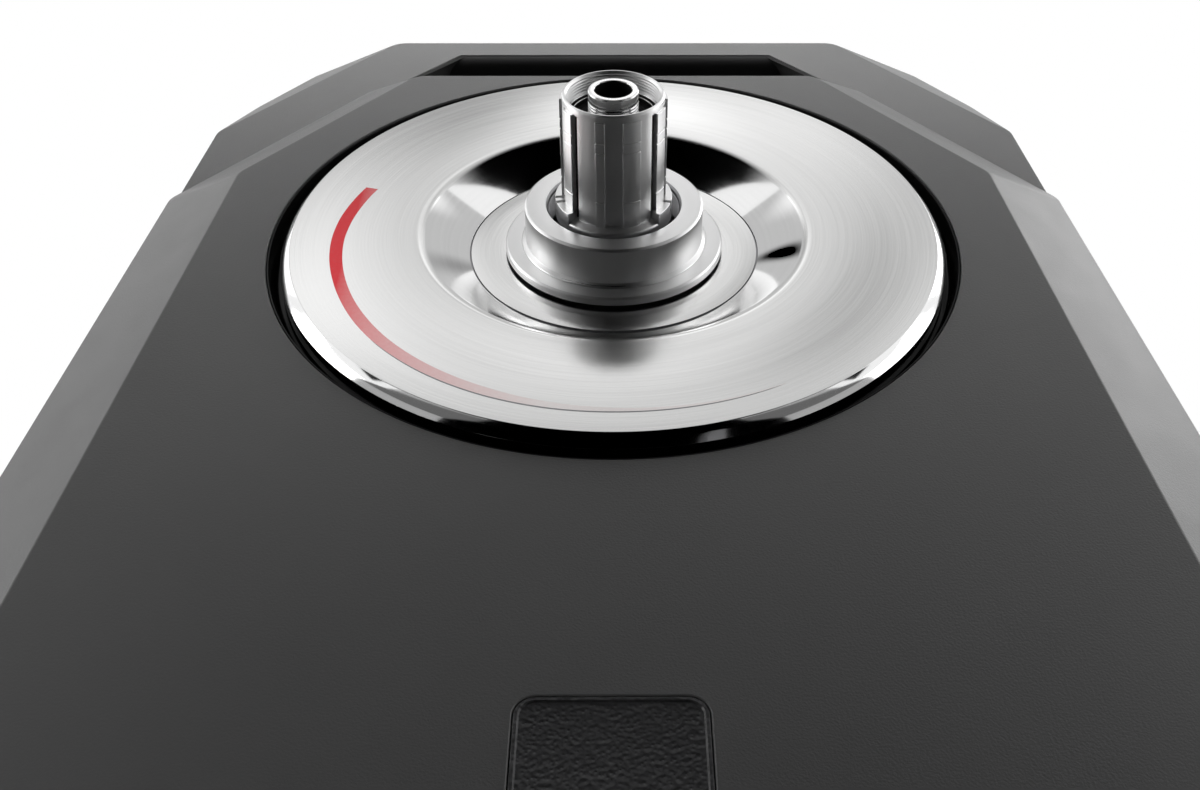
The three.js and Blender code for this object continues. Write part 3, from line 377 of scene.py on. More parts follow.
class Shader(Nodes):
    """A Principled material that is built node by node."""

    def __init__(self, name, color, roughness, metallic=0.0, **sockets):
        self.material = bpy.data.materials.new(name)
        self.material.use_nodes = True
        super().__init__(self.material.node_tree)
        self.bsdf = self.tree.nodes["Principled BSDF"]
        self.color = color
        self.bsdf.inputs["Base Color"].default_value = (*color, 1.0)
        self.bsdf.inputs["Roughness"].default_value = roughness
        self.bsdf.inputs["Metallic"].default_value = metallic
        for socket, value in sockets.items():
            self.bsdf.inputs[socket.replace("_", " ")].default_value = value
        self.relief = None

    def noise(self, scale, detail=2.0, vector=None, stretch=(1, 1, 1)):
        """Noise in the object's own space or in that of vector, in features per metre."""
        mapping = self.node("Mapping")
        mapping.inputs["Scale"].default_value = stretch
        self.link(vector or self.place(), mapping.inputs["Vector"])
        made = self.node("TexNoise", Scale=scale, Detail=detail)
        self.link(mapping.outputs[0], made.inputs["Vector"])
        return made.outputs["Fac"]

    def turned_place(self):
        """(radius, cosine, sine) about the wheel axle, for marks that run round it."""
        x, _, height = self.axes(self.place())
        z = self.math("SUBTRACT", height, AXLE_HEIGHT * MM)
        square = self.math("ADD", self.math("MULTIPLY", x, x), self.math("MULTIPLY", z, z))
        radius = self.math("SQRT", square)
        joined = self.node("CombineXYZ")
        self.link(radius, joined.inputs["X"])
        self.link(self.math("DIVIDE", x, radius), joined.inputs["Y"])
        self.link(self.math("DIVIDE", z, radius), joined.inputs["Z"])
        return joined.outputs[0]

    def vary_color(self, factor, dark, light):
        """Colour between a darker and a lighter shade of the base."""
        mix = self.node("VectorMath", operation="SCALE")
        mix.inputs[0].default_value = self.color
        self.link(self.mapped(factor, dark, light), mix.inputs["Scale"])
        self.link(mix.outputs[0], self.bsdf.inputs["Base Color"])

    def vary_roughness(self, factor, low, high):
        """Roughness between two values."""
        self.link(self.mapped(factor, low, high), self.bsdf.inputs["Roughness"])

    def bump(self, height, distance):
        """Surface relief; a second call adds to the first."""
        made = self.node("Bump", Strength=1.0, Distance=distance)
        self.link(height, made.inputs["Height"])
        if self.relief:
            self.link(self.relief, made.inputs["Normal"])
        self.relief = made.outputs[0]
        self.link(self.relief, self.bsdf.inputs["Normal"])

    def around(self):
        """Brushing that runs round the wheel axle."""
        tangent = self.node("Tangent", direction_type="RADIAL", axis="Y")
        self.link(tangent.outputs[0], self.bsdf.inputs["Tangent"])


def moulded(name, color, roughness, grain, scale=1500, gloss=0.5):
    """Moulded plastic with a fine spark-eroded grain."""
    made = Shader(name, color, roughness, Specular_IOR_Level=gloss)
    made.bump(made.noise(scale, 3.0), grain)
    made.vary_color(made.noise(14, 3.0), 0.9, 1.1)
    made.vary_roughness(made.noise(60, 2.0), roughness - 0.05, roughness + 0.05)
    return made.material


def glossy(name, color, roughness, gloss):
    """Hard plastic with a deep shine."""
    made = Shader(name, color, roughness, Specular_IOR_Level=gloss)
    made.vary_roughness(made.noise(50, 2.0), roughness - 0.14, roughness - 0.04)
    return made.material


def brushed_round(name, color, roughness, anisotropy, marks, depth):
    """Metal turned or brushed in circles about the wheel axle."""
    made = Shader(name, color, roughness, 1.0, Anisotropic=anisotropy)
    ring = made.turned_place()
    lines = made.noise(1.0, 4.0, ring, (2600, 1.6, 1.6))
    bands = made.noise(1.0, 3.0, ring, (320, 0.9, 0.9))
    both = made.math("ADD", made.math("MULTIPLY", lines, 0.55), made.math("MULTIPLY", bands, 0.45))
    made.vary_color(both, 1 - depth, 1 + depth * 0.5)
    made.vary_roughness(both, roughness * 0.7, roughness * 1.35)
    made.bump(lines, marks)
    made.around()
    return made.material


def polished(name, color, roughness):
    """Fine-turned, nearly mirror-bright metal."""
    made = Shader(name, color, roughness, 1.0)
    lines = made.noise(1.0, 3.0, made.turned_place(), (900, 0.8, 0.8))
    made.vary_color(lines, 0.94, 1.02)
    made.vary_roughness(lines, roughness * 0.6, roughness * 1.5)
    return made.material


def steel(name, color, roughness, marks=0.000004, spread=0.12):
    """Machined steel with fine random marks; spread is how uneven its shade is."""
    made = Shader(name, color, roughness, 1.0)
    made.bump(made.noise(900, 3.0), marks)
    made.vary_color(made.noise(40, 3.0), 1 - spread, 1 + spread / 2)
    made.vary_roughness(made.noise(150, 3.0), roughness * (1 - 2 * spread),
                        roughness * (1 + 2 * spread))
    return made.material


def coated(name, color, roughness, peel=0.00003, scale=700):
    """Powder coat or paint with a slight orange peel."""
    made = Shader(name, color, roughness)
    made.bump(made.noise(scale, 1.5), peel)
    made.vary_color(made.noise(25, 3.0), 0.88, 1.1)
    made.vary_roughness(made.noise(90, 2.0), roughness - 0.06, roughness + 0.06)
    return made.material


def rubbery(name, color, roughness=0.75):
    """Dull rubber with a coarse skin."""
    made = Shader(name, color, roughness, Specular_IOR_Level=0.35)
    made.bump(made.noise(1100, 3.0), 0.00006)
    made.vary_color(made.noise(35, 3.0), 0.8, 1.25)
    made.vary_roughness(made.noise(120, 2.0), roughness - 0.1, roughness + 0.08)
    return made.material


def pebbled(name, color):
    """Coarse leather-like moulded grain of the badge field."""
    made = Shader(name, color, 0.42)
    cells = made.node("TexVoronoi", Scale=900.0, feature="SMOOTH_F1")
    made.link(made.place(), cells.inputs["Vector"])
    made.bump(cells.outputs["Distance"], 0.00025)
    made.bump(made.noise(500, 2.0), 0.0001)
    made.vary_color(made.noise(60, 2.0), 0.85, 1.15)
    return made.material


def fading_stripe(name, paint, metal, start=-0.088, end=-0.018):
    """Glossy line that fades into the bare metal between two x."""
    made = Shader(name, paint, 0.25, 1.0)
    x = made.axes(made.place())["X"]
    curve = made.math("POWER", made.mapped(x, 0.0, 1.0, From_Min=start, From_Max=end), 0.6)
    grain = made.math("MULTIPLY", made.noise(700, 2.0), 0.12)
    fade = made.math("ADD", curve, made.math("SUBTRACT", grain, 0.06))
    mix = made.node("Mix", data_type="RGBA", clamp_factor=True)
    for socket in mix.inputs:
        if socket.type == "RGBA":
            socket.default_value = (*(paint if socket.name == "A" else metal), 1.0)
    made.link(fade, mix.inputs["Factor"])
    colour = next(s for s in mix.outputs if s.type == "RGBA")
    made.link(colour, made.bsdf.inputs["Base Color"])
    return made.material


def copper_wire(name, color):
    """Enamelled wire laid in fine parallel turns."""
    made = Shader(name, color, 0.3, 0.9)
    wave = made.node("TexWave", Scale=160.0, Distortion=0.6)
    made.link(made.place(), wave.inputs["Vector"])
    made.bump(wave.outputs["Fac"], 0.0003)
    made.vary_color(made.noise(60, 2.0), 0.8, 1.1)
    return made.material


body_grey = moulded("body_grey", (0.044, 0.044, 0.044), 0.40, 0.00008)
slot_black = moulded("slot_black", (0.004, 0.004, 0.004), 0.45, 0.00003, 1800, 0.15)
gloss_black = glossy("gloss_black", (0.003, 0.003, 0.003), 0.22, 0.08)
badge_black = pebbled("badge_black", (0.012, 0.012, 0.013))
disc_brushed = brushed_round("disc_brushed", (0.88, 0.88, 0.875), 0.17, 0.65, 0.000008, 0.22)
disc_polished = polished("disc_polished", (0.88, 0.88, 0.88), 0.07)
hub_satin = brushed_round("hub_satin", (0.94, 0.94, 0.94), 0.33, 0.3, 0.000002, 0.04)
hub_edge = polished("hub_edge", (0.82, 0.82, 0.82), 0.3)
hub_bright = polished("hub_bright", (0.94, 0.94, 0.94), 0.16)
cassette_steel = steel("cassette_steel", (0.92, 0.92, 0.92), 0.33, 0.0000005, 0.02)
# Near-black steel laid only in grooves, gaps and bores: painted shade
painted_recess_shade = steel("painted_recess_shade", (0.05, 0.05, 0.05), 0.5)
# Dark steel of the bearings, screws and other small steel parts; also laid in the disc's groove,
# the hub's bore and under its flange as painted shade
dark_steel_and_shade = steel("dark_steel_and_shade", (0.32, 0.32, 0.33), 0.32)
bell_steel = steel("bell_steel", (0.38, 0.38, 0.39), 0.35)
magnet_grey = steel("magnet_grey", (0.45, 0.45, 0.46), 0.4)
core_steel = steel("core_steel", (0.35, 0.35, 0.36), 0.45)
alloy = steel("carrier_alloy", (0.62, 0.62, 0.62), 0.5, 0.00002)
stripe_red = fading_stripe("stripe_red", (0.66, 0.045, 0.055), (0.84, 0.80, 0.79))
board_green = coated("board_green", (0.02, 0.12, 0.06), 0.35)
base_black = coated("base_black", (0.014, 0.014, 0.015), 0.42)
leg_grey = coated("leg_grey", (0.075, 0.075, 0.078), 0.4, 0.00004, 900)
rubber_black = rubbery("rubber_black", (0.014, 0.014, 0.014))
grip_black = moulded("grip_black", (0.014, 0.014, 0.015), 0.5, 0.00006, 1200)
seal_black = rubbery("seal_black", (0.012, 0.012, 0.012), 0.55)
copper = copper_wire("copper", (0.62, 0.26, 0.12))


# Body

def face_corners():
    """Corners of the flat front of the cover."""
    bottom = BOTTOM + FACE["chamfer"]
    foot = FACE["shoulder_half"] + (FACE["shoulder"] - bottom) * FACE["flare"]
    return both_sides([(foot, bottom), (FACE["shoulder_half"], FACE["shoulder"]),
                       (FACE["top_half"], FACE["top"])])


def cover_outline(share, inset):
    """Outline of the cover at a share of its bevel, moved in by inset."""
    corners = face_corners()
    widths = [FACE["chamfer"]] * len(corners)
    widths[2] = FACE["top_chamfer"]
    moved = [width * share - inset for width in widths]
    return rounded_outline(offset_outline(corners, moved), FACE["corner"])


def badge_outline(margin):
    """Outline of the badge, widened by margin."""
    centre = BADGE["top"] - BADGE["height"] / 2
    corners = rectangle(0, centre, BADGE["width"] + 2 * margin, BADGE["height"] + 2 * margin)
    return rounded_outline(corners, BADGE["corner"] + margin, 8)


def cylinder_cutter(name, radius, low, high):
    """Plain cylinder about the wheel axle, to carve with."""
    outline = circle(radius, ROUND_STEPS)
    return loft(name, [(outline, low), (outline, high)])


def make_drive_cover():
    """Hollow front cover with the round recess and the pocket of the badge."""
    depth, wall = FACE["depth"], FACE["wall"]
    back = -(depth - SEAT_GAP)
    share = wall / depth
    cover = loft("drive_cover", [(cover_outline(0, 0), 0), (cover_outline(1, 0), back)])
    hollow = loft("hollow", [(cover_outline(share, 2 * wall), -wall),
                             (cover_outline(1 + share, 2 * wall), back - OVERRUN)])
    hole = cylinder_cutter("hole", RECESS["radius"], -depth - OVERRUN, OVERRUN)
    pocket = loft("pocket", [(badge_outline(SEAT_GAP), -BADGE["thickness"]),
                             (badge_outline(SEAT_GAP), OVERRUN)])
    carve(cover, hollow, hole, pocket)
    soften(cover, BODY_EDGE, 2, FACET_ANGLE)
    finish_piece(cover, "trainer", "body_grey", body_grey, replaces=["drive_side_cover"])


def body_side(height):
    """Half width of the body at a height."""
    return BODY["side"] + (FACE["shoulder"] - height) * FACE["flare"]


def body_outline(shift):
    """Outline of the body whose upper facets are moved out by shift."""
    low_x = body_side(BODY["facet_height"])
    slope = (BODY["top"] - BODY["facet_height"]) / (low_x - BODY["facet_half"])
    rise = shift * math.hypot(1, slope)
    height = BODY["facet_height"] + rise
    corners = both_sides([
        (body_side(BOTTOM), BOTTOM),
        (body_side(height), height),
        (BODY["facet_half"] + rise / slope, BODY["top"]),
    ])
    return rounded_outline(corners, BODY["corner"])


def slot_corners(inset, top):
    """Corners of the carry slot, moved in by inset and cut off at top."""
    lean = (SLOT["bottom_half"] - SLOT["top_half"]) / (SLOT["top"] - SLOT["bottom"])
    low = SLOT["bottom"] + inset
    shift = inset * math.hypot(1, lean)

    def half_at(height):
        return SLOT["bottom_half"] - (height - SLOT["bottom"]) * lean - shift

    return both_sides([(half_at(low), low), (half_at(top), top)])


def make_frame_body():
    """Frame behind the cover, with the motor's bore and the carry slot."""
    depth, width = BODY["facet_depth"], BODY["facet_width"]
    back, front = FRAME_BACK - OVERRUN, FRAME_FRONT + OVERRUN
    body = loft("frame_body", [
        (body_outline(0), FRAME_FRONT), (body_outline(width), FRAME_FRONT - depth),
        (body_outline(width), FRAME_BACK + depth), (body_outline(0), FRAME_BACK)])
    bore = cylinder_cutter("bore", BODY["bore"], back, front)
    slot = slot_corners(0, SLOT["top"])
    carve(body, bore, loft("opening", [(slot, back), (slot, front)]))
    soften(body, BODY_EDGE, 2, FACET_ANGLE)
    finish_piece(body, "trainer", "body_grey", body_grey, replaces=["main_frame"])


def make_grip(steps=9):
    """Lining of the carry slot that swells into a round grip under the bar."""
    front, back = FRAME_FRONT - SEAT_GAP, FRAME_BACK + SEAT_GAP
    outer = slot_corners(SEAT_GAP, SLOT["top"] - SEAT_GAP)
    grip = loft("grip_lining", [(outer, back), (outer, front)])
    entry = []
    for k in range(steps + 1):
        angle = math.pi / 2 * k / steps
        low = SLOT["top"] - SLOT["bulge"] * math.sin(angle) - SLOT["wall"] / 2
        entry.append((SLOT["round"] * (1 - math.cos(angle)), slot_corners(SLOT["wall"], low)))
    sections = [(entry[0][1], back - OVERRUN)]
    sections += [(outline, back + drop) for drop, outline in entry]
    sections += [(outline, front - drop) for drop, outline in reversed(entry)]
    sections += [(entry[0][1], front + OVERRUN)]
    carve(grip, loft("opening", sections))
    soften(grip, 0.3)
    finish_piece(grip, "trainer", "grip_black", slot_black, replaces=["handle_grip"])


def make_recess_ring():
    """Glossy lining of the recess, with a sloped side and a narrow floor."""
    outer = RECESS["radius"] - SEAT_GAP
    wall = outer - RECESS["wall"]
    liner = lathe("recess_liner", filleted([
        (outer, RECESS["lip"], 0.15), (outer - 0.5, RECESS["lip"], 0.2),
        (outer - 2.2, RECESS["floor"], 1.2), (RECESS["bore"], RECESS["floor"], 0.3),
        (RECESS["bore"], RECESS["floor_back"], 0), (wall, RECESS["floor_back"], 0),
        (wall, RECESS["back"], 0), (outer, RECESS["back"], 0)]))
    soften(liner, 0)
    finish_piece(liner, "trainer", "gloss_black", gloss_black, replaces=["recess_ring"])


def make_badge():
    """Bare badge field: a low rim round a pebbled panel."""
    rows = [(0, SEAT_GAP - BADGE["thickness"]), (0, -0.25), (-0.25, 0), (-0.9, 0), (-1.3, -0.45),
            (-1.6, -0.5)]
    plate = loft("badge_field", [(badge_outline(margin), level) for margin, level in rows])
    soften(plate, 0)
    finish_piece(plate, "trainer", "badge_black", badge_black, replaces=["badge_plate"])


make_drive_cover()
make_frame_body()
make_grip()
make_recess_ring()
make_badge()


# Rotor

# A profile holds (radius, level, rounding), and zones hold (material index, radii, levels)
DISC_FACE = 107.8
DISC_LEVEL = 2.9
DISC_RADIUS = 111.2
DISC_PROFILE = [
    (33.3, -6.2, 0.2), (48.55, -6.2, 0.08), (48.65, -6.7, 0), (49.0, -6.7, 0),
    (49.1, -6.24, 0.08), (64.9, DISC_LEVEL, 7.0), (DISC_FACE, DISC_LEVEL, 0.5),
    (109.6, 1.5, 8.0), (DISC_RADIUS, -0.35, 0.15), (DISC_RADIUS, -6.6, 0.3),
    (103.5, -6.6, 0), (103.5, -10.5, 0.3), (33.3, -10.5, 0),
]
# Groove painted dark as painted shade, then the polished cone and rim
DISC_ZONES = [
    (2, (48.6, 49.07), (-FAR, -6.3)), (1, (49.05, 63.6), ANY), (1, (DISC_FACE - 0.1, FAR), ANY),
]
# Line printed on the disc: (angle from +X in degrees, inner radius, outer radius)
STRIPE = [
    (164.5, 86.0, 90.4), (172.0, 87.4, 91.9), (178.0, 88.6, 93.1), (186.0, 90.0, 94.3),
    (193.0, 90.8, 95.0), (201.0, 91.6, 95.6), (208.0, 92.3, 96.3), (216.0, 93.0, 97.2),
    (224.0, 93.7, 97.9), (236.0, 94.5, 98.5), (248.0, 95.3, 98.9), (260.0, 96.4, 99.1),
    (270.0, 97.2, 99.1), (281.0, 98.1, 99.3), (293.0, 99.0, 99.6), (300.0, 99.5, 99.75),
]
HUB_PROFILE = [
    (22.8, -14.0, 0), (22.8, 1.0, 0.3), (21.9, 1.4, 0),
    *thread(radius=21.9, depth=-0.5, start=1.6, end=9.8, pitch=0.9),
    (21.9, 10.1, 0), (22.0, 10.6, 0.4), (22.75, 11.4, 0.3), (29.05, 11.4, 0.15),
    (29.8, 10.75, 0.2), (29.8, -1.1, 0.2), (31.0, -2.0, 0.15), (31.2, -2.35, 0.1),
    (31.5, -2.2, 0.1), (36.05, -2.2, 0.2), (36.7, -2.85, 0.2), (36.7, -5.1, 0.15),
    (33.0, -5.1, 0), (33.0, -15.8, 0), (44.0, -15.8, 0), (44.0, -19.4, 0),
    (20.0, -19.4, 0), (20.0, -52.0, 0), (14.1, -52.0, 0), (14.1, -14.0, 0),
]
# Thread crests, then the back under the flange and the bore with the thread's roots painted dark
# as painted shade, then the edges of the collar, its foot and the flange
HUB_ZONES = [
    (1, (0, 21.45), (1.6, 10.0)), (2, ANY, (-FAR, -4.95)), (2, (0, 22.6), ANY),
    (1, (28.85, FAR), (9.5, FAR)), (1, (29.85, 31.3), (-2.5, FAR)),
    (1, (36.1, FAR), (-3.0, FAR)),
]


def make_disc():
    """Brushed motor disc with its polished cone and bevelled rim."""
    disc = lathe("motor_disc", filleted(DISC_PROFILE), DISC_STEPS)
    soften(disc, 0)
    paint_faces(disc, DISC_ZONES)
    finish_piece(disc, "rotor", "disc_metal", disc_brushed, disc_polished, dark_steel_and_shade,
                 replaces=["rotor_disc"])


def stripe_radii(angle):
    """Inner and outer radius of the printed line at an angle."""
    after = next(k for k in range(1, len(STRIPE)) if angle <= STRIPE[k][0])
    (start, *low), (end, *high) = STRIPE[after - 1:after + 1]
    share = (angle - start) / (end - start)
    return [a + (b - a) * share for a, b in zip(low, high)]


def ribbon(name, rows, thickness):
    """Flat line on the disc through rows of (angle, inner radius, outer radius)."""
    top = DISC_LEVEL + thickness
    rings = []
    for angle, inner, outer in rows:
        a = math.radians(angle)
        section = ((inner, DISC_LEVEL), (outer, DISC_LEVEL), (outer, top), (inner, top))
        rings.append([across(r * math.cos(a), r * math.sin(a), level) for r, level in section])
    return solid_object(name, lambda bm: add_rings(bm, rings))


def make_stripe(steps=140):
    """Thin line that widens and fades along an arc of the disc."""
    start, end = STRIPE[0][0], STRIPE[-1][0]
    angles = [start + (end - start) * k / steps for k in range(steps + 1)]
    stripe = ribbon("disc_stripe", [(angle, *stripe_radii(angle)) for angle in angles], 0.03)
    soften(stripe, 0)
    finish_piece(stripe, "rotor", "stripe_red", stripe_red)


def make_stripe_line(start=222.0, end=299.0, steps=90):
    """Thin dark line along the outer edge of the stripe's faded end."""
    rows = []
    for k in range(steps + 1):
        angle = start + (end - start) * k / steps
        outer = stripe_radii(angle)[1]
        half = 0.24 * math.sin(math.pi * k / steps) ** 0.5 + 0.01
        rows.append((angle, outer - half, outer + half))
    line = ribbon("disc_line", rows, 0.04)
    soften(line, 0)
    finish_piece(line, "rotor", "disc_metal", dark_steel_and_shade)


def make_hub():
    """Stepped hub: threaded collar, flange and the tube behind them."""
    hub = lathe("hub_collar", filleted(HUB_PROFILE, 4))
    soften(hub, 0)
    paint_faces(hub, HUB_ZONES)
    finish_piece(hub, "rotor", "hub_satin", hub_satin, hub_edge, dark_steel_and_shade,
                 replaces=["rotor_hub"])


make_disc()
make_stripe()
make_stripe_line()
make_hub()


# Cassette body and axle

CASSETTE = {
    "floor": 15.5, "rim": 16.4, "rim_top": 51.3, "mouth": 14.8, "bore": 13.0, "back": -0.6,
    "start": 12.0, "stop": 48.9, "rib": 17.3, "low_rib": 16.9, "land": 16.37, "channel": 15.9,
    "land_top": 50.1, "sink": 0.6, "notch_half": 0.2, "notch_depth": 0.3,
    "ledge_inner": 15.8, "ledge_radius": 19.4, "ledge_start": 8.2, "ledge": 14.2,
}
# Ridges round the body: (start, end, kind), in degrees from straight down
SECTORS = [
    (-66, -50.4, "rib"), (-43.8, -20, "land"), (-20, -9.5, "low_rib"), (-9.5, 10.6, "channel"),
    (10.6, 31, "low_rib"), (31, 47.8, "land"), (53.4, 72, "rib"),
    (91, 109, "rib"), (115, 125, "land"), (131, 149, "rib"), (155, 165, "land"),
    (171, 189, "rib"), (195, 205, "land"), (211, 229, "rib"), (235, 245, "land"),
    (251, 269, "rib"), (275, 287, "land"),
]
# Levels of the thin notches across the ribs
NOTCHES = [41.9, 38.5, 20.8]
# Feet of the ribs: ledges on the shoulder, in degrees from straight down
LEDGES = [(49.5, 74.5), (78.5, 112), (116, 152), (156, 191), (195, 231), (235, 272), (276, 281.5),
          (285.5, 310.5)]
SEAL_PROFILE = [
    (8.6, 42.6, 0), (12.9, 42.6, 0), (12.9, 43.3, 0.2), (11.0, 43.3, 0.2),
    (10.4, 43.7, 0.2), (9.4, 43.7, 0.2), (8.6, 43.1, 0.1),
]
MOUTH_PROFILE = [
    (14.75, 43.0, 0), (14.75, 45.1, 0.1), (14.15, 45.1, 0.1), (13.95, 44.3, 0.1),
    (13.5, 44.3, 0.1), (13.4, 44.6, 0.08), (13.05, 44.6, 0.08), (12.9, 43.0, 0),
]
NOSE_PROFILE = [
    (6.0, 44.3, 0), (7.75, 44.3, 0),
    *thread(radius=7.75, depth=0.35, start=44.6, end=48.6, pitch=1.0),
    (7.75, 48.9, 0), (8.1, 49.1, 0.1), (8.1, 52.0, 0.2), (7.7, 52.4, 0.15),
    (6.2, 52.4, 0.1), (6.0, 52.2, 0.05),
]
NOSE_FLAT = {"centre": 15.8, "width": 20.0, "height": 16.0, "start": 49.0, "stop": 54.0}


def add_ridge(bm, start, end, kind):
    """One rib or land, with thin notches across the ribs."""
    inner, outer = CASSETTE["floor"] - CASSETTE["sink"], CASSETTE[kind]
    low, top = CASSETTE["start"] - CASSETTE["sink"], CASSETTE["stop"]
    if kind in ("land", "channel"):
        add_sector(bm, inner, outer, start, end, low, CASSETTE["land_top"])
        return
    half, depth = CASSETTE["notch_half"], CASSETTE["notch_depth"]
    for notch in NOTCHES:
        add_sector(bm, inner, outer, start, end, notch + half, top)
        add_sector(bm, inner, outer - depth, start, end, notch - half, notch + half)
        top = notch - half
    add_sector(bm, inner, outer, start, end, low, top)


def make_cassette_core():
    """Turned body under the ridges, with its threaded mouth and its shoulder."""
    c = CASSETTE
    core = lathe("cassette_core", filleted([
        (c["bore"], c["back"], 0), (c["bore"], 42.3, 0.1), (c["mouth"], 42.3, 0),
        *thread(radius=c["mouth"], depth=-0.45, start=45.4, end=50.2, pitch=0.96),
        (c["mouth"], 50.5, 0), (c["mouth"] + 0.7, c["rim_top"], 0.1),
        (c["rim"] - 0.5, c["rim_top"], 0.15), (c["rim"], c["rim_top"] - 0.5, 0.15),
        (c["rim"], c["stop"], 0.1), (c["floor"], c["stop"] - 0.4, 0.1),
        (c["floor"], c["start"], 0.3), (16.6, c["start"] - 0.3, 0.3), (19.2, 10.6, 1.0),
        (19.45, 9.6, 0.4), (19.4, 7.4, 0.3), (18.4, 5.2, 0.3), (18.4, c["back"], 0)], 4),
        CORE_STEPS)
    soften(core, 0)
    # The floor that shows between the ridges is painted near black: painted shade in the gaps
    paint_faces(core, [(1, (c["mouth"] + 0.5, c["floor"] + 0.1), (c["start"], c["stop"] - 0.3))])
    finish_piece(core, "freehub", "freehub_steel", cassette_steel, painted_recess_shade,
                 replaces=["freehub_body"])


def make_cassette_ridges():
    """Ribs, lands and ledges round the core."""
    c = CASSETTE

    def build(bm):
        for start, end, kind in SECTORS:
            add_ridge(bm, start, end, kind)
        for start, end in LEDGES:
            add_sector(bm, c["ledge_inner"], c["ledge_radius"], start, end, c["ledge_start"],
                       c["ledge"], 10)

    ridges = solid_object("cassette_ridges", build)
    soften(ridges, 0.1, 2)
    finish_piece(ridges, "freehub", "freehub_steel", cassette_steel)


def make_pawl_carrier():
    """Plain ring behind the shoulder that holds the pawls."""
    inner, outer, front, back = CASSETTE["bore"], CASSETTE["rim"], CASSETTE["back"], -12.5
    carrier = lathe("pawl_carrier", [(inner, front), (outer, front), (outer, back), (inner, back)],
                    SMALL_STEPS)
    soften(carrier, 0.2)
    finish_piece(carrier, "freehub", "freehub_steel", dark_steel_and_shade)


def make_seal():
    """Rubber seal between the axle and the mouth."""
    seal = lathe("cassette_seal", filleted(SEAL_PROFILE, 3), SEAL_STEPS)
    soften(seal, 0)
    finish_piece(seal, "freehub", "rubber_black", seal_black, replaces=["freehub_seal"])


def make_mouth_rings():
    """Two turned steps round the seal inside the mouth."""
    rings = lathe("mouth_rings", filleted(MOUTH_PROFILE, 3), NOSE_STEPS)
    soften(rings, 0)
    # The channel between the two steps and the inner faces are painted near black: painted shade
    paint_faces(rings, [(1, (13.35, 14.1), ANY), (1, (0, 13.0), ANY)])
    finish_piece(rings, "freehub", "freehub_steel", hub_bright, painted_recess_shade)


def make_axle_nose():
    """Threaded end of the axle with two flats across its collar."""
    nose = lathe("axle_nose", filleted(NOSE_PROFILE, 3), NOSE_STEPS)
    flats = []
    for way in (1, -1):
        outline = rectangle(0, way * NOSE_FLAT["centre"], NOSE_FLAT["width"], NOSE_FLAT["height"])
        flats.append(loft("flat", [(outline, NOSE_FLAT["start"]), (outline, NOSE_FLAT["stop"])]))
    carve(nose, *flats)
    soften(nose, 0)
    # The bore of the axle end is painted near black: painted shade inside the hole
    paint_faces(nose, [(1, (0, 6.02), (-FAR, 52.1))])
    finish_piece(nose, "trainer", "hub_satin", hub_bright, painted_recess_shade,
                 replaces=["axle_end_cap_drive"])


make_cassette_core()
make_cassette_ridges()
make_pawl_carrier()
make_seal()
make_mouth_rings()
make_axle_nose()


# Knobs and feet

LOBES = 6
# Rows of a knob as (radius, depth of the dips, height): up from its foot, then down from its top
KNOB_UNDER = [(9.6, 0, 0.0), (10.0, 0, 0.4), (10.0, 0, 3.0), (14.0, 1.6, 3.0), (17.2, 2.5, 3.6),
              (18.0, 2.6, 5.0)]
KNOB_OVER = [(18.0, 2.6, 4.0), (17.4, 2.5, 1.8), (16.0, 2.2, 0.5), (14.0, 1.6, 0.0),
             (9.2, 0, 0.0), (8.8, 0, 0.5), (8.4, 0, 0.5)]
# Steel cap in a knob: (radius, depth under the top)
CAP = [(8.0, 0.9), (8.0, 0.35), (7.6, 0.1), (4.0, 0.05)]
# Foot below its upper edge: (radius, height, rounding)
FOOT_PROFILE = [
    (20.0, 7.6, 0.2), (19.3, 7.2, 0.2), (20.0, 6.8, 0.2), (20.0, 5.2, 0.2), (19.3, 4.8, 0.2),
    (20.0, 4.4, 0.2), (20.0, 2.2, 0.6), (18.0, 0, 0.4), (12.0, 0, 0.3), (11.5, 0.7, 0.2),
    (9.0, 0.7, 0.2), (8.5, 0, 0.3), (0.02, 0, 0),
]


def place_of(node):
    """Placing about the upright centre line of a node, and its lowest and highest level."""
    low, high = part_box(node)
    middle = (low + high) / 2 / MM
    return upright_at(middle.x, middle.y), low.z / MM, high.z / MM


def make_knob(side):
    """Lobed clamp knob with a steel cap in its top."""
    node = "clamp_knob_" + side
    place, low, high = place_of(node)
    rows = [(lobed(radius, dip, LOBES), low + rise) for radius, dip, rise in KNOB_UNDER]
    rows += [(lobed(radius, dip, LOBES), high - drop) for radius, dip, drop in KNOB_OVER]
    knob = loft("knob_" + side, rows, place)
    soften(knob, 0)
    finish_piece(knob, "knob_" + side, "grip_black", grip_black, replaces=[node])
    cap = loft("knob_cap_" + side,
               [(circle(radius, CAP_STEPS), high - drop) for radius, drop in CAP], place)
    soften(cap, 0)
    finish_piece(cap, "knob_" + side, "hard_steel", dark_steel_and_shade)


def make_foot(name):
    """Round rubber foot with two grooves round its side and a stepped sole."""
    node = "foot_pad_" + name
    place, _, high = place_of(node)
    socket = high - 5.0
    foot = lathe("foot_" + name, filleted([
        (7.0, socket, 0), (7.0, high, 0.4), (17.5, high, 1.4), (20.0, high - 2.5, 1.0),
        *FOOT_PROFILE, (0.02, socket, 0)], 3), SMALL_STEPS, place)
    soften(foot, 0)
    finish_piece(foot, "pad_" + name, "rubber_black", rubber_black, replaces=[node])


for side in SIDES:
    make_knob(side)
    for place in FOOT_PLACES:
        make_foot("%s_%s" % (place, side))


# Nodes that keep their shape

# Distance in millimetres and angle below which points and faces become one
WELD_DISTANCE = 0.01
MERGE_ANGLE = math.radians(0.5)

